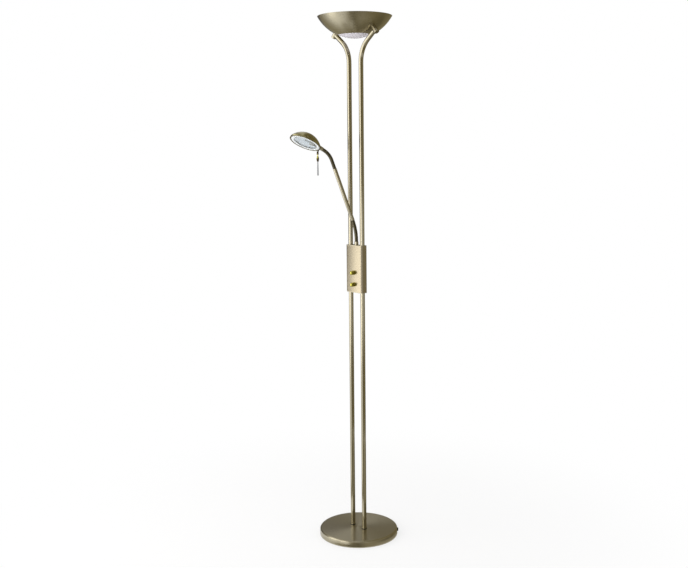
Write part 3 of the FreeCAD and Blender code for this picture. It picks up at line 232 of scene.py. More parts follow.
def piece(name, points, quads, triangles, body, slot, finish, smooth=True, uv=None):
    """One mesh object from arrays, put on its body and given its finish. Its slot is not used."""
    mesh = bpy.data.meshes.new(name)
    faces = np.asarray(quads).reshape(-1, 4).tolist() + np.asarray(triangles).reshape(-1, 3).tolist()
    mesh.from_pydata(np.asarray(points, float).reshape(-1, 3).tolist(), [], faces)
    mesh.polygons.foreach_set("use_smooth", np.full(len(mesh.polygons), smooth))
    if uv is not None:
        lay_map(mesh, "Along", uv)
    mesh.materials.append(finish)
    mesh.validate()
    made = shown(name, mesh)
    if body is not None:
        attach(made, body)
    return made


def directions(path):
    """Unit tangents of a path, from the differences of neighbouring points."""
    steps = np.gradient(path, axis=0)
    return steps / np.linalg.norm(steps, axis=1, keepdims=True)


def rings(path, radii, columns, side):
    """Points centre + radius x (cos p, sin p) in the plane square to the path; p starts at the side direction."""
    along = directions(path)
    first = side - (along @ side)[:, None] * along
    first /= np.linalg.norm(first, axis=1, keepdims=True)
    second = np.cross(along, first)
    angle = np.linspace(0, 2 * np.pi, columns, endpoint=False)
    radii = np.broadcast_to(radii, (len(path), columns))
    return (path[:, None] + radii[..., None] * (np.cos(angle)[None, :, None] * first[:, None]
                                                + np.sin(angle)[None, :, None] * second[:, None]))


def closed_tube(path, radii, columns, side):
    """The ring grid of a path with a fan at each end: points, quads, triangles."""
    path = np.asarray(path, float)
    grid = rings(path, radii, columns, np.asarray(side, float))
    points = np.vstack([grid.reshape(-1, 3), path[:1], path[-1:]])
    count = len(path) * columns
    first = np.arange(columns)
    fans = np.vstack([fan_faces(first, count, False), fan_faces(first + count - columns, count + 1, True)])
    return points, grid_faces(len(path), columns, True), fans


def revolved(profile, columns, centre, axis, side):
    """A profile of (radius, height) turned about an axis: centre + height x axis + radius x (cos p, sin p)."""
    profile = np.asarray(profile, float)
    axis = unit(axis)
    first = unit(np.asarray(side, float) - np.dot(side, axis) * axis)
    second = np.cross(axis, first)
    angle = np.linspace(0, 2 * np.pi, columns, endpoint=False)
    spoke = np.cos(angle)[:, None] * first + np.sin(angle)[:, None] * second
    return (np.asarray(centre, float) + profile[:, 1][:, None, None] * axis
            + profile[:, 0][:, None, None] * spoke[None])


def hoop(radius, section, centre, axis, side, columns=64, around=16):
    """A round section carried round an axis: radius + section x cos q out from it, section x sin q along it."""
    angle = np.linspace(0, 2 * np.pi, around, endpoint=False)
    profile = np.stack([radius + section * np.cos(angle), section * np.sin(angle)], -1)
    points = revolved(profile, columns, centre, axis, side).reshape(-1, 3)
    return points, grid_faces(around + 1, columns, True) % (around * columns), np.empty((0, 3), int)


def coil(start, end, radius, pitch, side):
    """A helix between two points: start + share x (end - start) + radius x (cos a, sin a) square to it."""
    start, end = np.asarray(start, float), np.asarray(end, float)
    turns = np.linalg.norm(end - start) / pitch
    share = np.linspace(0, 1, round(12 * turns) + 1)[:, None]
    axis = unit(end - start)
    first = unit(np.asarray(side, float) - np.dot(side, axis) * axis)
    second = np.cross(axis, first)
    angle = 2 * np.pi * turns * share
    return start + share * (end - start) + radius * (np.cos(angle) * first + np.sin(angle) * second)


def joined(parts):
    """Several surfaces as one: their points stacked, their faces numbered on."""
    starts = np.cumsum([0] + [len(points) for points, _, _ in parts])
    return (np.vstack([points for points, _, _ in parts]),
            np.vstack([np.asarray(quads).reshape(-1, 4) + start for (_, quads, _), start in zip(parts, starts)]),
            np.vstack([np.asarray(fans).reshape(-1, 3) + start for (_, _, fans), start in zip(parts, starts)]))


# Materials: each starts from the real one, its base metal or plastic and how it was worked

# Nearly all values of a noise lie between these two
MIDDLE = (0.3, 0.7)
# Depth of belt lines and of buffing marks
MARK_DEPTH = 0.01 * MM


def add(tree, kind, *inputs, to=None, **settings):
    """Add one node and give its first output, also linked to another node's socket where one is named.

    A math node's kind ends with its operation. The inputs go in order to the sockets that the
    settings leave in use: a value, a socket to link from, or None where one keeps its own value.
    """
    kind, _, operation = kind.partition(" ")
    node = tree.nodes.new("ShaderNode" + kind)
    if operation:
        node.operation = operation
    for name, value in settings.items():
        setattr(node, name, value)
    for value, socket in zip(inputs, [socket for socket in node.inputs if socket.enabled]):
        if isinstance(value, bpy.types.NodeSocket):
            tree.links.new(value, socket)
        elif value is not None:
            socket.default_value = value
    made = next(socket for socket in node.outputs if socket.enabled)
    if to is not None:
        tree.links.new(made, to)
    return made


def material(name, **constants):
    """A Principled material, its tree and its shader's sockets, onto which the constants go straight."""
    made = bpy.data.materials.new(name)
    made.use_nodes = True
    skin = made.node_tree.nodes["Principled BSDF"].inputs
    for key, value in constants.items():
        skin[key.replace("_", " ")].default_value = value
    return made, made.node_tree, skin


def place_from(tree, centre=(0, 0, 0)):
    """Object coordinates measured from a point."""
    where = add(tree, "TexCoord").node.outputs["Object"]
    return add(tree, "VectorMath SUBTRACT", where, tuple(centre))


def shaded(tree, pattern, colour, darkest, lightest=1.0, to=None):
    """A colour times a factor that follows a pattern."""
    factor = add(tree, "MapRange", pattern, *MIDDLE, darkest, lightest)
    return add(tree, "VectorMath SCALE", tuple(colour)[:3], factor, to=to)


def brushed(name, colour, centre=(0, 0, 0), axis=(0, 0, 1), turned=True, roughness=0.3, anisotropy=0.8,
            line=0.9 * MM, run=60 * MM, sway=0.02, depth=0.12, streak=0.96, crown=0.0):
    """Steel, ground with a belt or on a spinning lathe, then lacquered champagne.

    The lines run round the axis on turned pieces and along it on drawn ones. They stretch a light
    across themselves. Real grit leaves lines of 0.1 to 0.2 mm; they are drawn about five times as
    wide, because finer ones don't show. Clouds about 45 mm wide vary the lacquer. A folded sleeve's
    flat sides are a little crowned: their height falls with the square of x, by the crown at 32 mm
    from the middle.
    """
    made, tree, skin = material("champagne_steel_" + name, Metallic=1.0, Anisotropic=anisotropy, Coat_Weight=0.1,
                                Coat_Roughness=0.12, Anisotropic_Rotation=0.25 if turned else 0.0)
    axis = unit(axis)
    place = place_from(tree, centre)
    around = add(tree, "VectorMath CROSS_PRODUCT", tuple(axis), place)
    spoke = add(tree, "VectorMath NORMALIZE", around, to=skin["Tangent"])
    if turned:
        radius = add(tree, "VectorMath LENGTH", around)
        height = add(tree, "VectorMath DOT_PRODUCT", place, tuple(axis))
        across = add(tree, "CombineXYZ", *(add(tree, "Math MULTIPLY", size, 1 / line) for size in (radius, height)))
        # A line is broken about three times in a radian of its turn
        lines = add(tree, "VectorMath MULTIPLY_ADD", spoke, (3.0, 3.0, 3.0), across)
    else:
        squeeze = np.eye(3) / line + (1 / run - 1 / line) * np.outer(axis, axis)
        lines = add(tree, "CombineXYZ", *(add(tree, "VectorMath DOT_PRODUCT", place, tuple(row)) for row in squeeze))
    grain = add(tree, "TexNoise", lines, 1.0, 3.0, 0.65)
    cloud = add(tree, "TexNoise", place, 22.0, 3.0, 0.5)
    shaded(tree, grain, colour, streak, 1.03, to=skin["Base Color"])
    add(tree, "Math ADD", add(tree, "MapRange", grain, *MIDDLE, roughness - sway, roughness + sway),
        add(tree, "MapRange", cloud, *MIDDLE, -sway, sway), to=skin["Roughness"])
    bowed = None
    if crown:
        share = add(tree, "Math MULTIPLY", add(tree, "SeparateXYZ", place), 1 / (32 * MM))
        drop = add(tree, "Math POWER", share, 2.0)
        bowed = add(tree, "Bump", 1.0, crown, None, add(tree, "Math MULTIPLY", drop, -1.0))
    add(tree, "Bump", depth, MARK_DEPTH, None, grain, bowed, to=skin["Normal"])
    return made


def polished(name, colour, roughness, cloud_size=8 * MM, darkest=0.9, coat=0.0):
    """Metal buffed on a mop: a tight highlight, broken a little by handling marks."""
    made, tree, skin = material(name, Metallic=1.0, Coat_Weight=coat, Coat_Roughness=0.1)
    place = place_from(tree)
    cloud = add(tree, "TexNoise", place, 1 / cloud_size, 4.0, 0.6)
    shaded(tree, cloud, colour, darkest, to=skin["Base Color"])
    add(tree, "MapRange", cloud, *MIDDLE, roughness * 0.7, roughness * 1.5, to=skin["Roughness"])
    marks = add(tree, "TexNoise", place, 1 / (1.2 * MM), 2.0, 0.5)
    add(tree, "Bump", 0.25, MARK_DEPTH, None, marks, to=skin["Normal"])
    return made


def moulded(name, colour, roughness, grit, depth, darkest=0.85, **constants):
    """Moulded, cast, fired or pressed stuff: a matt skin whose grit scatters the light."""
    made, tree, skin = material(name, **constants)
    place = place_from(tree)
    fine = add(tree, "TexNoise", place, 1 / grit, 3.0, 0.6)
    broad = add(tree, "TexNoise", place, 1 / (12 * grit), 2.0, 0.5)
    half = add(tree, "Math MULTIPLY", add(tree, "Math ADD", fine, broad), 0.5)
    shaded(tree, half, colour, darkest, 1.04, to=skin["Base Color"])
    add(tree, "MapRange", fine, *MIDDLE, roughness - 0.06, roughness + 0.06, to=skin["Roughness"])
    add(tree, "Bump", 0.6, depth, None, fine, to=skin["Normal"])
    return made


def glassy(name, colour, roughness, ior, sway=0.02, grit=0.8 * MM, depth=0.0, transmission=1.0):
    """Glass, quartz or acrylic; grit and depth are those of an etched or sanded face."""
    made, tree, skin = material(name, Base_Color=tuple(colour), IOR=ior, Transmission_Weight=transmission)
    fine = add(tree, "TexNoise", place_from(tree), 1 / grit, 3.0, 0.5)
    add(tree, "MapRange", fine, *MIDDLE, max(0.0, roughness - sway), roughness + sway, to=skin["Roughness"])
    if depth:
        add(tree, "Bump", 0.5, depth, None, fine, to=skin["Normal"])
    return made


def whitened(made, place, past, grit, matt, cover):
    """Glass that turns white and matt, as etching or a cap makes it, where a mask is one."""
    tree = made.node_tree
    skin = tree.nodes["Principled BSDF"].inputs
    rough = add(tree, "MapRange", add(tree, "TexNoise", place, 1 / grit, 3.0, 0.5), *MIDDLE, *matt)
    add(tree, "Math MULTIPLY_ADD", past, rough, 0.02, to=skin["Roughness"])
    add(tree, "Math MULTIPLY_ADD", past, -cover, 1.0, to=skin["Transmission Weight"])
    return made


def bordered_glass(name, colour, centre, axis, clear_radius, band):
    """Clear disc whose edge is etched: past the clear radius its face is white and matt."""
    made = glassy(name, colour, 0.02, 1.52)
    tree = made.node_tree
    place = place_from(tree, centre)
    around = add(tree, "VectorMath CROSS_PRODUCT", tuple(axis), place)
    radius = add(tree, "VectorMath LENGTH", around)
    past = add(tree, "MapRange", radius, clear_radius, clear_radius + band, 0.0, 1.0,
               interpolation_type="SMOOTHSTEP")
    return whitened(made, place, past, 0.8 * MM, (0.5, 0.75), 0.92)


def capped_quartz(name, colour, half_length, band):
    """Fused quartz whose pinched ends sit in ceramic caps: past the half length it is white and matt."""
    made = glassy(name, colour, 0.02, 1.46)
    tree = made.node_tree
    place = place_from(tree)
    reach = add(tree, "Math ABSOLUTE", add(tree, "SeparateXYZ", place))
    past = add(tree, "MapRange", reach, half_length, half_length + band, 0.0, 1.0)
    return whitened(made, place, past, 0.6 * MM, (0.4, 0.6), 1.0)


def antiqued(name, bright, dark, height, band):
    """Turned brass, buffed above a height and left with its dark patina below it."""
    made = polished(name, bright, 0.14)
    tree = made.node_tree
    place = place_from(tree)
    level = add(tree, "SeparateXYZ", place).node.outputs["Z"]
    ragged = add(tree, "Math MULTIPLY_ADD", add(tree, "TexNoise", place, 1 / (3 * MM), 3.0, 0.5), band, -band / 2)
    edge = add(tree, "Math ADD", level, ragged)
    buffed = add(tree, "MapRange", edge, height - band, height + band, 0.0, 1.0, interpolation_type="SMOOTHSTEP")
    cloud = add(tree, "TexNoise", place, 1 / (8 * MM), 4.0, 0.6)
    add(tree, "Mix", buffed, shaded(tree, cloud, dark, 0.7), shaded(tree, cloud, bright, 0.9), data_type="RGBA",
        to=tree.nodes["Principled BSDF"].inputs["Base Color"])
    return made


def wound(name, colour, wire):
    """Blackened steel wire, wound tight and brighter in patches that wind round with it: rubbed wear with a painted
    sheen.
    """
    made, tree, skin = material(name, Metallic=1.0, Coat_Weight=0.15, Coat_Roughness=0.3)
    along = add(tree, "SeparateXYZ", add(tree, "UVMap", uv_map="Along")).node.outputs
    turn = add(tree, "Math MULTIPLY_ADD", along["Y"], 1 / wire, along["X"])
    smudge = add(tree, "TexNoise", place_from(tree), 90.0, 3.0, 0.5)
    # Patches of rubbed wear with a painted sheen: the colour rises to one and a half times over them
    wear_and_sheen = add(tree, "Math MULTIPLY", add(tree, "Math PINGPONG", turn, 1.0), smudge)
    shaded(tree, wear_and_sheen, colour, 0.55, 1.5, to=skin["Base Color"])
    add(tree, "MapRange", smudge, *MIDDLE, 0.26, 0.40, to=skin["Roughness"])
    return made


def disc_frame(node):
    """Centre and upward axis of a round node.

    The axis is the direction in which its points spread least, and the centre is the middle of their reach.
    """
    mesh = NODES[node].data
    points = np.empty(len(mesh.vertices) * 3)
    mesh.vertices.foreach_get("co", points)
    points = points.reshape(-1, 3)
    corners = np.unique(points.round(7), axis=0)
    axis = np.linalg.svd(corners - corners.mean(0), full_matrices=False)[2][2]
    axis = unit(axis * np.sign(axis[2]))
    first = unit(np.cross(axis, UP))
    sides = np.stack([first, np.cross(axis, first), axis])
    reach = points @ sides.T
    return (reach.min(0) + reach.max(0)) / 2 @ sides, axis


def head_frame():
    """The reading head's rim centre, its axis to the top of the dome, and its direction to the neck."""
    centre, axis = disc_frame("head_glass")
    neck = -np.array(JOINTS["head_turn"]["axis"], float)
    return centre, axis, unit(neck - (neck @ axis) * axis)


def dress(names, made):
    """Give CAD nodes their material."""
    for name in names:
        mesh = NODES[name].data
        mesh.materials.clear()
        mesh.materials.append(made)


# The glass is clear out to here, and etched past a narrow band
CLEAR_RADIUS, CLEAR_BAND = 40 * MM, 2 * MM
# The linear lamp's quartz runs into its ceramic caps this far from its middle
CAPS_START, CAPS_BAND = 51 * MM, 0.4 * MM
# Height of the line on the handle's cap under which its patina was left
PATINA_HEIGHT, PATINA_BAND = 1333 * MM, 1.2 * MM


class LAMP_OT_finishes(bpy.types.Operator):
    """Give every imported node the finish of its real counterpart"""

    bl_idname = "lamp.finishes"
    bl_label = "Finishes"

    def execute(self, context):
        colours = context.scene.lamp_colours
        centre, axis, _ = head_frame()
        foot = JOINTS["arm_bend"]["pos_m"]
        arm = np.array(JOINTS["neck_bend"]["pos_m"]) - np.array(foot)
        # Tube comes smooth from the die: its lines are faint, and it mirrors a light as a narrow band
        tube = {"turned": False, "roughness": 0.15, "anisotropy": 0.2, "sway": 0.012, "depth": 0.06, "streak": 0.98}
        dress(["base_cover", "bowl"], brushed("spun", colours.champagne))
        dress(["lower_pole_left", "lower_pole_right", "upper_pole_left", "upper_pole_right"],
              brushed("drawn", colours.champagne, **tube))
        dress(["arm_tube"], brushed("arm", colours.champagne, foot, arm, **tube))
        dress(["box_sleeve"], brushed("box", colours.box, turned=False, roughness=0.26, anisotropy=0.2, line=0.8 * MM,
                                      sway=0.015, depth=0.06, streak=0.98, crown=1.4 * MM))
        dress(["box_top_cap", "box_bottom_cap"],
              brushed("caps", colours.champagne, axis=(1, 0, 0), turned=False, anisotropy=0.3))
        for sign, name in ((-1, "boss_left"), (1, "boss_right")):
            low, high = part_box(name)
            down = (sign * math.sin(BOSS_SLOPE), 0, -math.cos(BOSS_SLOPE))
            dress([name], brushed(name, colours.champagne, (low + high) / 2, down, turned=False, roughness=0.22,
                                  anisotropy=0.3))
        dress(["arm_root_ferrule", "neck_ferrule", "neck_saddle"],
              polished("champagne_steel_turned", colours.champagne, 0.2, coat=0.3))
        # The reading head has the bowl's lacquer; its darker colour is painted shade
        dress(["head_dome"], brushed("dome", colours.dome, centre, axis, roughness=0.16, line=0.7 * MM))
        dress(["head_ring"], polished("polished_trim", colours.trim, 0.2, coat=0.3))
        dress(["handle_lug", "handle_link"], polished("dark_bronze", colours.bronze, 0.22))
        dress(["knob_lower", "knob_upper"], polished("polished_brass", colours.brass, 0.12))
        dress(["handle_cap"], antiqued("antiqued_brass", colours.brass, colours.bronze, PATINA_HEIGHT, PATINA_BAND))
        dress(["pole_nuts", "pole_nipples", "pole_plugs", "pole_couplers", "tie_rods", "pole_clamp", "grub_screws",
               "dimmer_nuts", "arm_root_nut", "neck_nut", "neck_wedge", "boss_screws"],
              polished("zinc_plate", colours.zinc, 0.35, cloud_size=4 * MM, darkest=0.75))
        dress(["dimmer_shaft_lower", "dimmer_shaft_upper", "lamp_bracket", "head_lamp_bracket", "handle_pins"],
              polished("bright_steel", colours.steel, 0.25))
        dress(["base_weight"], moulded("cast_iron", colours.iron, 0.7, 1.5 * MM, 0.3 * MM, Metallic=0.4))
        dress(["base_pad"], moulded("pressed_felt", colours.felt, 0.95, 0.7 * MM, 0.3 * MM, 0.6,
                                    Sheen_Weight=0.4, Sheen_Roughness=0.5))
        dress(["cord_gland"], moulded("black_rubber", colours.rubber, 0.55, 1.0 * MM, 0.05 * MM))
        dress(["dimmer_lower", "dimmer_upper"],
              moulded("glass_filled_nylon", colours.dark_plastic, 0.5, 0.8 * MM, 0.05 * MM))
        dress(["terminal_block"], moulded("pale_polyamide", colours.pale_plastic, 0.45, 1.0 * MM, 0.03 * MM, 0.95))
        dress(["lamp_socket_left", "lamp_socket_right", "head_lamp_holder"],
              moulded("steatite", colours.ceramic, 0.5, 0.6 * MM, 0.03 * MM, 0.94))
        dress(["glass_dish"], glassy("frosted_glass", colours.frosted, 0.6, 1.5, 0.04, 0.9 * MM, 0.003 * MM,
                                     transmission=0.2))
        dress(["head_glass"], bordered_glass("clear_glass", colours.glass, centre, axis, CLEAR_RADIUS, CLEAR_BAND))
        dress(["head_lamp"], glassy("quartz", colours.glass, 0.02, 1.46))
        dress(["linear_lamp"], capped_quartz("capped_quartz", colours.glass, CAPS_START, CAPS_BAND))
        dress(["handle_rod"], glassy("clear_acrylic", colours.acrylic, 0.2, 1.49))
        dress(["head_reflector"], polished("anodised_aluminium", colours.reflector, 0.12))
        return {"FINISHED"}


# Goosenecks

# Points from which a centre line is summed
CENTRE_POINTS = 4001
RINGS_PER_TURN = 10
HOSE_COLUMNS = 40
# The wound turns shrink to the plain plug over this length
PLUG_STEP = 0.5 * MM


def leaning(start, lean, foot, arc, bend, distances):
    """Points of a centre line that leans from the upright: straight, one arc that adds the bend, straight.

    Each point is the start plus the sum of the steps (0, -sin lean, cos lean) up to its distance,
    turned to the arm's own direction about the upright axis.
    """
    fine = np.linspace(0, distances[-1], CENTRE_POINTS)
    leans = lean + bend * np.clip((fine - foot) / arc, 0, 1)
    middle = (leans[1:] + leans[:-1]) / 2
    steps = np.diff(fine)[:, None] * np.stack([np.zeros_like(middle), -np.sin(middle), np.cos(middle)], -1)
    line = np.vstack([np.zeros(3), np.cumsum(steps, 0)])
    line = np.stack([np.interp(distances, fine, line[:, at]) for at in range(3)], -1)
    turn = np.array(Matrix.Rotation(ARM_TURN, 3, "Z"))
    return np.asarray(start) + line @ turn.T


def gooseneck(name, start, lean, foot, arc, bend, plugs, sizes, made):
    """Wound wire on a centre line: the radius dips by the groove depth where distance / wire - p / turn is whole.

    The dip follows one minus the root of one minus the square of the distance from a turn's crown,
    so each turn is round, as wound wire is. The groove is cut short at 0.98 of the way down, where
    a round wire's side would stand upright.
    """
    total = foot + arc + HOSE_STRAIGHT
    distances = np.linspace(0, total, round(total / sizes.wire * RINGS_PER_TURN) + 1)
    angle = np.arange(HOSE_COLUMNS) / HOSE_COLUMNS
    turns = distances[:, None] / sizes.wire - angle[None]
    from_crown = 2 * np.abs((turns % 1.0) - 0.5)
    crown = np.sqrt(np.clip(1 - (0.98 * from_crown) ** 2, 0, 1))
    radii = sizes.hose_radius - sizes.wire_depth * (1 - crown)
    inside = np.clip(np.minimum(distances - plugs[0], total - plugs[1] - distances) / PLUG_STEP, 0, 1)[:, None]
    radii = sizes.plug_radius * (1 - inside) + radii * inside
    path = leaning(start, lean, foot, arc, bend, distances)
    side = np.array([math.cos(ARM_TURN), math.sin(ARM_TURN), 0])
    uv = np.stack(np.broadcast_arrays(angle[None], distances[:, None]), -1).reshape(-1, 2)
    uv = np.vstack([uv, [[0, 0], [0, total]]])
    hose = piece(name, *closed_tube(path, radii, HOSE_COLUMNS, side), None, "dark_hose", made, uv=uv)
    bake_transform(hose)
    return hose, path


class LAMP_OT_goosenecks(bpy.types.Operator):
    """Wind both goosenecks, which bend between the pieces that they join"""

    bl_idname = "lamp.goosenecks"
    bl_label = "Goosenecks"

    def execute(self, context):
        sizes = context.scene.lamp_sizes
        made = wound("blackened_wire", context.scene.lamp_colours.gooseneck, sizes.wire)
        seat = (0, 0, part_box("box_top_cap")[1].z + SEAT_RISE)
        lower, path = gooseneck("lower_gooseneck_wound", seat, 0.0, HOSE_STRAIGHT, LOWER_ARC, LOWER_BEND,
                                (PLUG, PLUG), sizes, made)
        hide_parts("lower_gooseneck")
        along = unit(path[-1] - path[-2])
        foot = path[-1] + along * (TUBE_LENGTH - 2 * PLUG)
        upper, _ = gooseneck("upper_gooseneck_wound", foot, LOWER_BEND, UPPER_FOOT, UPPER_ARC, UPPER_BEND,
                             (PLUG, NECK_PLUG), sizes, made)
        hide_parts("upper_gooseneck")
        return {"FINISHED"}


# Reflector, filaments and trims

# The cutter of the window runs past the reflector's rim and top
CUT_REACH, CUT_TOP = 60.0 * MM, 40.0 * MM


def baked(made):
    """The mesh that a piece's modifiers give, in place of the piece's own; it has no modifiers then."""
    graph = bpy.context.evaluated_depsgraph_get()
    mesh = bpy.data.meshes.new_from_object(made.evaluated_get(graph), depsgraph=graph)
    made.modifiers.clear()
    made.data = mesh


def block(low, high, origin, axes):
    """A box between two corners measured along three axes from an origin."""
    corners = np.array([[x, y, z] for x in (low[0], high[0]) for y in (low[1], high[1]) for z in (low[2], high[2])])
    faces = [(0, 1, 3, 2), (4, 6, 7, 5), (0, 4, 5, 1), (2, 3, 7, 6), (0, 2, 6, 4), (1, 5, 7, 3)]
    return np.asarray(origin) + corners @ np.asarray(axes), faces


class LAMP_OT_reflector(bpy.types.Operator):
    """Press the faceted reflector of the reading head, with its window for the lamp holder"""

    bl_idname = "lamp.reflector"
    bl_label = "Reflector"

    def execute(self, context):
        sizes = context.scene.lamp_sizes
        centre, axis, side = head_frame()
        seat = centre + axis * GLASS_THICKNESS / 2
        sphere = (REFLECTOR_MOUTH ** 2 + REFLECTOR_RISE ** 2) / (2 * REFLECTOR_RISE)
        ring = np.linspace(0, 1, sizes.facet_rings + 1)[1:] * REFLECTOR_MOUTH
        height = REFLECTOR_RISE - sphere + np.sqrt(sphere ** 2 - ring ** 2)
        columns = sizes.facets
        # Each ring is turned by half a facet from the last: it takes every other one of twice the columns
        fine = revolved(np.stack([ring, height], -1), 2 * columns, seat, axis, side)
        grid = np.where((np.arange(len(ring)) % 2 == 0)[:, None, None], fine[:, ::2], fine[:, 1::2])
        flange = revolved([(REFLECTOR_FLANGE, 0)], 3 * columns, seat, axis, side)[0]
        points = np.vstack([grid.reshape(-1, 3), flange, [seat + axis * REFLECTOR_RISE]])
        index = np.arange(len(ring) * columns).reshape(len(ring), columns)
        triangles = [fan_faces(index[0], len(points) - 1, True)]
        for row, (inner, outer) in enumerate(zip(index, index[1:])):
            inner_after, outer_after = np.roll(inner, -1), np.roll(outer, -1)
            if row % 2 == 0:
                pair = (outer, inner_after, inner), (outer, outer_after, inner_after)
            else:
                pair = (outer, outer_after, inner), (outer_after, inner_after, inner)
            triangles += [np.stack(corners, -1) for corners in pair]
        # The flat flange has three corners to each facet of the mouth, so that it looks round
        mouth, rim = index[-1], np.arange(3 * columns) + index.size
        before, middle, after = np.roll(rim, 1)[::3], rim[::3], rim[1::3]
        mouth_after, far = np.roll(mouth, -1), rim[2::3]
        triangles += [np.stack(corners, -1) for corners in (
            (before, middle, mouth), (middle, after, mouth), (after, mouth_after, mouth), (after, far, mouth_after))]
        made = polished("faceted_aluminium", context.scene.lamp_colours.reflector, 0.1, darkest=0.97)
        reflector = piece("head_reflector_faceted", points, np.empty((0, 4), int), np.vstack(triangles), "head",
                          "reflector_aluminium", made, smooth=False)
        wall = reflector.modifiers.new("wall", "SOLIDIFY")
        wall.thickness = sizes.reflector_wall
        wall.offset = 1
        wall.use_even_offset = True
        baked(reflector)
        corners, faces = block((-WINDOW_WIDTH / 2, WINDOW_START, WINDOW_FLOOR - GLASS_THICKNESS),
                               (WINDOW_WIDTH / 2, CUT_REACH, CUT_TOP), seat, (np.cross(side, axis), side, axis))
        cutter = piece("window_cutter", corners, faces, np.empty((0, 3), int), "head", "reflector_aluminium", made)
        window = reflector.modifiers.new("window", "BOOLEAN")
        window.operation = "DIFFERENCE"
        window.solver = "EXACT"
        window.object = cutter
        baked(reflector)
        bpy.data.objects.remove(cutter)
        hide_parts("head_reflector")
        return {"FINISHED"}


# The linear lamp's coil, from its middle to its ends, and the straight wire beyond each
COIL_REACH, COIL_TAIL = 40 * MM, 9 * MM
# Its four supports stand along this reach, and their rings touch the quartz
SUPPORT_REACH, SUPPORT_RING = 30 * MM, 4.4 * MM
# The capsule's coil, from its middle towards the neck and away from it
CAPSULE_NEAR, CAPSULE_FAR = 5 * MM, 4 * MM
# Its two legs start in the holder, this far from its middle and this far to each side
LEG_REACH, LEG_SPREAD = 15 * MM, 2 * MM


class LAMP_OT_filaments(bpy.types.Operator):
    """Wind the filaments of both lamps"""

    bl_idname = "lamp.filaments"
    bl_label = "Filaments"

    def execute(self, context):
        sizes = context.scene.lamp_sizes
        made = polished("tungsten", context.scene.lamp_colours.tungsten, 0.3, cloud_size=2 * MM)
        low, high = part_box("linear_lamp")
        middle = np.array((low + high) / 2)
        ends = [middle - ALONG * COIL_REACH, middle + ALONG * COIL_REACH]
        parts = [closed_tube(coil(*ends, sizes.coil, 4 * sizes.coil_wire, UP), sizes.coil_wire, 6, ALONG)]
        for end, sign in zip(ends, (-1, 1)):
            straight = np.linspace(end, end + ALONG * sign * COIL_TAIL, 3)
            parts.append(closed_tube(straight, 1.5 * sizes.coil_wire, 8, UP))
        for place in np.linspace(-SUPPORT_REACH, SUPPORT_REACH, 4):
            foot = middle + ALONG * place
            parts.append(hoop(SUPPORT_RING, sizes.coil_wire, foot, ALONG, UP, 32, 8))
            spoke = np.linspace(foot + UP * sizes.coil, foot + UP * SUPPORT_RING, 3)
            parts.append(closed_tube(spoke, sizes.coil_wire, 8, ALONG))
        piece("linear_lamp_filament", *joined(parts), "stand", "bright_steel", made)

        centre, axis, neck = head_frame()
        across = np.cross(neck, axis)
        heart = centre + axis * (CAPSULE_RISE - GLASS_THICKNESS / 2)
        near, far = heart + neck * CAPSULE_NEAR, heart - neck * CAPSULE_FAR
        parts = [closed_tube(coil(far, near, sizes.coil, 4 * sizes.coil_wire, axis), sizes.coil_wire, 6, neck)]
        for sign, end in ((1, near + across * sizes.coil), (-1, far - across * sizes.coil)):
            foot = heart + neck * LEG_REACH + across * sign * LEG_SPREAD
            parts.append(closed_tube(np.linspace(foot, end, 3), 1.4 * sizes.coil_wire, 8, axis))
        piece("capsule_filament", *joined(parts), "head", "bright_steel", made)
        return {"FINISHED"}


# A seal's middle stands this far above the base, and this share of its section lies outside the pole
SEAL_LIFT, SEAL_OUT = 0.7 * MM, 0.8
# A lead enters its socket at this height above the underside, to this depth
LEAD_ENTRY, LEAD_DEPTH = 9 * MM, 1 * MM
# How far a lead carries on from the bolt and towards the socket before it bends
LEAD_RISE, LEAD_LEVEL = 34 * MM, 22 * MM
# A bush is a ring of this section, whose middle runs this far from the lead
BUSH_SECTION, BUSH_GAP = 0.6 * MM, 0.5 * MM


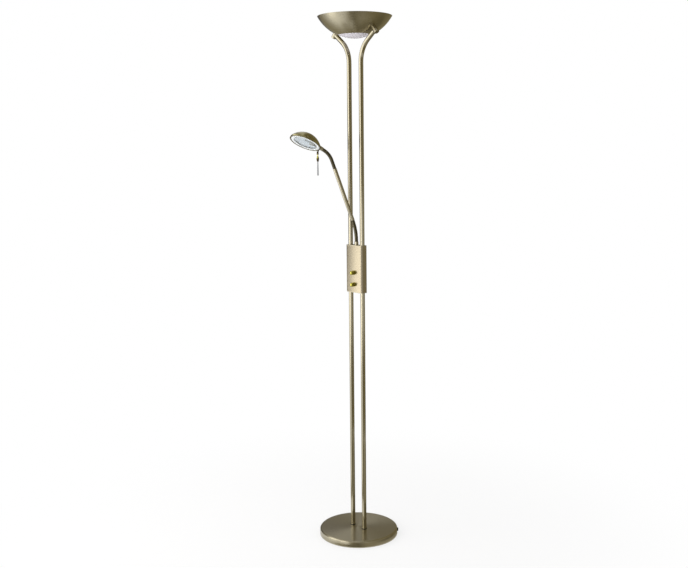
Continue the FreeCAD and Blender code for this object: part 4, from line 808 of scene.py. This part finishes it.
class LAMP_OT_trims(bpy.types.Operator):
    """Fit the seals at the poles' feet and the sleeved leads in the bowl"""

    bl_idname = "lamp.trims"
    bl_label = "Seals and leads"

    def execute(self, context):
        sizes = context.scene.lamp_sizes
        colours = context.scene.lamp_colours
        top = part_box("base_cover")[1].z
        seals = []
        for name in ("lower_pole_left", "lower_pole_right"):
            low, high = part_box(name)
            foot = ((low.x + high.x) / 2, (low.y + high.y) / 2, top + SEAL_LIFT)
            seals.append(hoop((high.x - low.x) / 2 + SEAL_OUT * sizes.seal, sizes.seal, foot, UP, ALONG))
        rubber = moulded("seal_rubber", colours.rubber, 0.45, 1.0 * MM, 0.02 * MM)
        piece("pole_seals", *joined(seals), "stand", "black_rubber", rubber)

        sleeve = moulded("silicone_sleeve", colours.sleeve, 0.55, 0.5 * MM, 0.05 * MM)
        nylon = moulded("nylon_bush", colours.dark_plastic, 0.4, 0.8 * MM, 0.03 * MM)
        leads, bushes = [], []
        for sign, socket in ((-1, "lamp_socket_left"), (1, "lamp_socket_right")):
            low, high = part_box(socket)
            inward = np.array((-sign * math.sin(BOSS_SLOPE), 0, math.cos(BOSS_SLOPE)))
            head = UP * (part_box("bowl")[1].z + BOWL_RISE) - inward * (BOWL_RADIUS - SCREW_LIFT)
            end = np.array((high.x if sign > 0 else low.x, 0, low.z + LEAD_ENTRY)) - ALONG * sign * LEAD_DEPTH
            # Hermite curve: it leaves the hollow bolt square to its head and enters the socket level
            share = np.linspace(0, 1, 33)[:, None]
            path = ((2 * share ** 3 - 3 * share ** 2 + 1) * head
                    + (share ** 3 - 2 * share ** 2 + share) * inward * LEAD_RISE
                    + (3 * share ** 2 - 2 * share ** 3) * end
                    - (share ** 3 - share ** 2) * ALONG * sign * LEAD_LEVEL)
            leads.append(closed_tube(path, sizes.lead, 16, ACROSS))
            bushes.append(hoop(sizes.lead + BUSH_GAP, BUSH_SECTION, head, inward, ACROSS, 32, 12))
        piece("socket_leads", *joined(leads), "stand", "pale_plastic", sleeve)
        piece("lead_bushes", *joined(bushes), "stand", "dark_plastic", nylon)
        return {"FINISHED"}


# Stage

# How the fitted camera is turned from level and from straight at the lamp's axis, in degrees
CAMERA_PITCH, CAMERA_PAN, CAMERA_ROLL = -7.98, -0.769, -0.568
# Both lights point here
AIM = (0, 0, 1.0)
# The floor reaches this far to each side, out of the picture
FLOOR_REACH = 12.0
# Share of the floor's look that is its own even glow: least within the near distance, whole past the far one
GLOW_NEAR, GLOW_FAR, GLOW_LEAST = 0.3, 1.4, 0.7
# Rows and columns of a card's mesh
CARD_GRID = (9, 49)
# Green and blue of a card's dark parts, as shares of its red
DUN, GREY = (0.87, 0.5), (0.95, 0.92)

# Shaded cards: name, inner and outer edge as (radius, height), width of the soft edge as a share of the card,
# colour of the dark parts, and stops of (bearing in degrees, radiance, cover)
CARDS = (
    ("wall_card", (3.4, 0.9), (3.4, 4.2), 0.06, DUN, (
        (-42, 0.5, 0), (-31, 0.3, 0.9), (-20, 0.22, 1), (30, 0.27, 1), (60, 0.34, 1), (86, 0.42, 1), (110, 0.3, 1),
        (165, 0.28, 1), (185, 0.3, 0))),
    ("low_wall_card", (3.4, -1.0), (3.4, 1.1), 0.06, DUN, (
        (-14, 1.0, 0), (2, 0.95, 1), (28, 0.75, 1), (60, 0.5, 1), (86, 0.42, 1), (110, 0.3, 1), (165, 0.28, 1),
        (185, 0.3, 0))),
    ("back_card", (8.0, -1.0), (8.0, 4.3), 0.05, GREY, (
        (100, 0.3, 0), (120, 0.16, 1), (165, 0.12, 1), (178, 0.25, 1), (190, 0.25, 1), (205, 0.12, 1),
        (250, 0.16, 1), (280, 0.4, 0))),
    ("high_card", (2.0, 1.5), (2.0, 2.9), 0.2, DUN, ((-130, 2.2, 0), (-115, 2.2, 1), (-75, 2.2, 1), (-60, 2.2, 0))),
    ("top_card", (0.5, 4.3), (9.0, 4.3), 0.05, DUN, (
        (0, 0.7, 1), (60, 0.45, 1), (100, 0.28, 1), (168, 0.28, 1), (182, 0.85, 1), (192, 0.85, 1), (206, 0.3, 1),
        (270, 0.6, 1), (360, 0.7, 1))),
    ("floor_card", (0.12, 0.004), (1.2, 0.004), 0.05, DUN, (
        (-60, 0.9, 0), (-46, 0.7, 0.6), (-31, 0.3, 1), (-16, 0.16, 1), (2, 0.18, 1), (14, 0.4, 1), (38, 0.53, 1),
        (62, 0.5, 1), (88, 0.3, 1), (110, 0.2, 1), (135, 0.15, 1), (160, 0.1, 1), (185, 0.3, 0))),
    ("far_floor_card", (1.15, 0.004), (6.0, 0.004), 0.05, DUN, (
        (-38, 0.8, 0), (-24, 0.5, 1), (-12, 0.22, 1), (6, 0.2, 1), (60, 0.3, 1), (88, 0.3, 1), (110, 0.2, 1),
        (160, 0.14, 1), (185, 0.3, 0))),
    ("left_card", (0.3, 0.005), (1.6, 0.005), 0.15, DUN, (
        (-200, 0.5, 0), (-170, 0.45, 1), (-56, 0.45, 1), (-42, 0.4, 0))),
    ("bounce_card", (0.35, 0.007), (12.0, 0.007), 0.2, DUN, (
        (-215, 0.5, 0), (-190, 0.4, 1), (-140, 0.38, 1), (-127, 0.58, 1), (-114, 0.95, 1), (-100, 1.35, 1),
        (-79, 1.45, 1), (-67, 1.3, 1), (-54, 0.9, 1), (-40, 0.6, 0))),
    ("base_card", (0.145, 0.008), (0.34, 0.008), 0.05, DUN, (
        (-84, 1.4, 0), (-66, 1.45, 1), (-45, 1.4, 1), (-20, 1.25, 1), (-12, 0.3, 1), (0, 0.16, 1), (12, 0.42, 1),
        (28, 0.38, 1), (48, 0.12, 1), (75, 0.1, 1), (95, 0.3, 0))),
)


def surface(tree):
    """The socket of a material's surface."""
    return tree.nodes["Material Output"].inputs["Surface"]


def background_rays(tree):
    """One for rays that show the background: from the camera, from gloss and through glass."""
    ray = add(tree, "LightPath").node.outputs
    seen = add(tree, "Math MAXIMUM", ray["Is Camera Ray"], ray["Is Glossy Ray"])
    return add(tree, "Math MAXIMUM", seen, ray["Is Transmission Ray"])


def bearing(angle, distance, height):
    """A point at a bearing: degrees round the lamp from the camera, positive towards the camera's right."""
    azimuth = bpy.context.scene.lamp_stage.camera_azimuth + math.radians(angle)
    return Vector((math.sin(azimuth) * distance, -math.cos(azimuth) * distance, height))


def area_light(name, place, width, height, radiance, colour):
    """A soft box; its power is pi x area x radiance."""
    light = bpy.data.lights.new(name, "AREA")
    light.shape = "RECTANGLE"
    light.size = width
    light.size_y = height
    light.energy = math.pi * width * height * radiance
    light.color = colour
    made = shown(name, light)
    made.location = place
    made.rotation_euler = (Vector(AIM) - place).to_track_quat("-Z", "Y").to_euler()


def card_colour(radiance, dark):
    """A light card is neutral; a dark one has its own shares of green and blue."""
    neutral = min(max((radiance - 0.3) / 0.4, 0), 1)
    return (radiance, *(radiance * (share + (1 - share) * neutral) for share in dark))


def card(name, inner, outer, soft, dark, stops):
    """A shaded card, as a studio sets beside bright metal: gloss alone sees it, and it casts no shadow.

    Its points run over bearings round the lamp and in a straight line from the inner to the outer
    edge. A stop gives its radiance and its cover, which also fades towards both edges.
    """
    made = bpy.data.materials.new(name)
    made.use_nodes = True
    tree = made.node_tree
    tree.nodes.remove(tree.nodes["Principled BSDF"])
    place = add(tree, "SeparateXYZ", add(tree, "UVMap", uv_map="Card")).node.outputs
    colour = add(tree, "ValToRGB", place["X"])
    ramp = colour.node.color_ramp.elements
    while len(ramp) < len(stops):
        ramp.new(0.5)
    first, last = stops[0][0], stops[-1][0]
    for at, (angle, radiance, cover) in enumerate(stops):
        ramp[at].position = (angle - first) / (last - first)
        ramp[at].color = (*card_colour(radiance, dark), cover)
    inset = add(tree, "Math MINIMUM", place["Y"], add(tree, "Math MULTIPLY_ADD", place["Y"], -1.0, 1.0))
    fade = add(tree, "MapRange", inset, 0.0, soft, 0.0, 1.0, interpolation_type="SMOOTHSTEP")
    cover = add(tree, "Math MULTIPLY", colour.node.outputs["Alpha"], fade)
    add(tree, "MixShader", cover, add(tree, "BsdfTransparent"), add(tree, "Emission", colour, 1.0),
        to=surface(tree))
    rows, columns = CARD_GRID
    angle = bpy.context.scene.lamp_stage.camera_azimuth + np.radians(np.linspace(first, last, columns))
    share = np.linspace(0, 1, rows)[:, None]
    radius = inner[0] * (outer[0] / inner[0]) ** share
    height = np.broadcast_to(inner[1] + (outer[1] - inner[1]) * share, CARD_GRID)
    points = np.stack([np.sin(angle) * radius, -np.cos(angle) * radius, height], -1).reshape(-1, 3)
    mesh = bpy.data.meshes.new(name)
    mesh.from_pydata(points.tolist(), [], grid_faces(rows, columns, False).tolist())
    lay_map(mesh, "Card", np.stack(np.broadcast_arrays(np.linspace(0, 1, columns)[None], share), -1).reshape(-1, 2))
    mesh.materials.append(made)
    sheet = shown(name, mesh)
    sheet.visible_camera = sheet.visible_diffuse = sheet.visible_transmission = sheet.visible_shadow = False


class LAMP_OT_stage(bpy.types.Operator):
    """Lay the floor, hang the lights and cards, and set up the camera"""

    bl_idname = "lamp.stage"
    bl_label = "Stage"

    def execute(self, context):
        scene = context.scene
        stage = scene.lamp_stage
        white = tuple(scene.lamp_colours.floor)
        floor, tree, _ = material("matt_paper", Base_Color=white, Roughness=0.9, Specular_IOR_Level=0.2)
        distance = add(tree, "VectorMath LENGTH", place_from(tree))
        far = add(tree, "MapRange", distance, GLOW_NEAR, GLOW_FAR, GLOW_LEAST, 1.0, interpolation_type="SMOOTHSTEP")
        share = add(tree, "Math MULTIPLY", background_rays(tree), far)
        add(tree, "MixShader", share, tree.nodes["Principled BSDF"].outputs[0], add(tree, "Emission", white, 1.0),
            to=surface(tree))
        mesh = bpy.data.meshes.new("studio_floor")
        corners = [(x * FLOOR_REACH, y * FLOOR_REACH, 0) for x, y in ((-1, -1), (1, -1), (1, 1), (-1, 1))]
        mesh.from_pydata(corners, [], [(0, 1, 2, 3)])
        mesh.materials.append(floor)
        shown("studio_floor", mesh)

        world = bpy.data.worlds.new("studio")
        scene.world = world
        world.use_nodes = True
        tree = world.node_tree
        background = tree.nodes["Background"].inputs
        background["Color"].default_value = white
        # The lamp is lit by the ambient light, and the background itself shows white
        add(tree, "Math MULTIPLY_ADD", background_rays(tree), 1.0 - stage.ambient, stage.ambient,
            to=background["Strength"])

        area_light("soft_box", bearing(-80, 2.2, 1.45), width=1.3, height=2.9, radiance=stage.side_light,
                   colour=(1, 0.98, 0.96))
        area_light("strip_box", bearing(-41, 3.7, 1.3), width=1.6, height=2.6, radiance=stage.strip_light,
                   colour=(1, 0.97, 0.97))
        for settings in CARDS:
            card(*settings)

        azimuth = stage.camera_azimuth
        back = Vector((math.sin(azimuth), -math.cos(azimuth), 0))
        right = Vector((math.cos(azimuth), math.sin(azimuth), 0))
        pitch, pan, roll = (math.radians(angle) for angle in (CAMERA_PITCH, CAMERA_PAN, CAMERA_ROLL))
        up = Vector((0, 0, 1))
        forward = -back * math.cos(pan) + right * math.sin(pan)
        right = forward.cross(up).normalized()
        forward = forward * math.cos(pitch) + up * math.sin(pitch)
        above = right.cross(forward)
        across = right * math.cos(roll) + above * math.sin(roll)
        over = above * math.cos(roll) - right * math.sin(roll)
        camera = bpy.data.cameras.new("camera")
        camera.lens = stage.camera_lens
        camera.sensor_width = 36.0
        camera.clip_end = 100.0
        made = shown("camera", camera)
        turn = Matrix((across, over, -forward)).transposed().to_4x4()
        made.matrix_world = Matrix.Translation(back * stage.camera_distance + up * stage.camera_height) @ turn
        scene.camera = made
        scene.view_settings.view_transform = "Standard"
        return {"FINISHED"}


class LAMP_PT_panel(bpy.types.Panel):
    """Holds a button for each step that builds the lamp"""

    bl_label = "Floor lamp"
    bl_idname = "LAMP_PT_panel"
    bl_space_type = "VIEW_3D"
    bl_region_type = "UI"
    bl_category = "Floor lamp"

    def draw(self, context):
        for operator in OPERATORS:
            self.layout.operator(operator.bl_idname)


GROUPS = {"lamp_sizes": LampSizes, "lamp_colours": LampColours, "lamp_stage": LampStage}
OPERATORS = (LAMP_OT_finishes, LAMP_OT_goosenecks, LAMP_OT_reflector, LAMP_OT_filaments, LAMP_OT_trims,
             LAMP_OT_stage)


def register():
    for group in (*GROUPS.values(), *OPERATORS, LAMP_PT_panel):
        bpy.utils.register_class(group)
    for name, group in GROUPS.items():
        setattr(bpy.types.Scene, name, PointerProperty(type=group))


def unregister():
    for name in GROUPS:
        delattr(bpy.types.Scene, name)
    for group in (LAMP_PT_panel, *reversed(OPERATORS), *GROUPS.values()):
        bpy.utils.unregister_class(group)


def main():
    register()
    bpy.ops.lamp.finishes()
    bpy.ops.lamp.goosenecks()
    bpy.ops.lamp.reflector()
    bpy.ops.lamp.filaments()
    bpy.ops.lamp.trims()
    bpy.ops.lamp.stage()


if __name__ == "__main__":
    main()
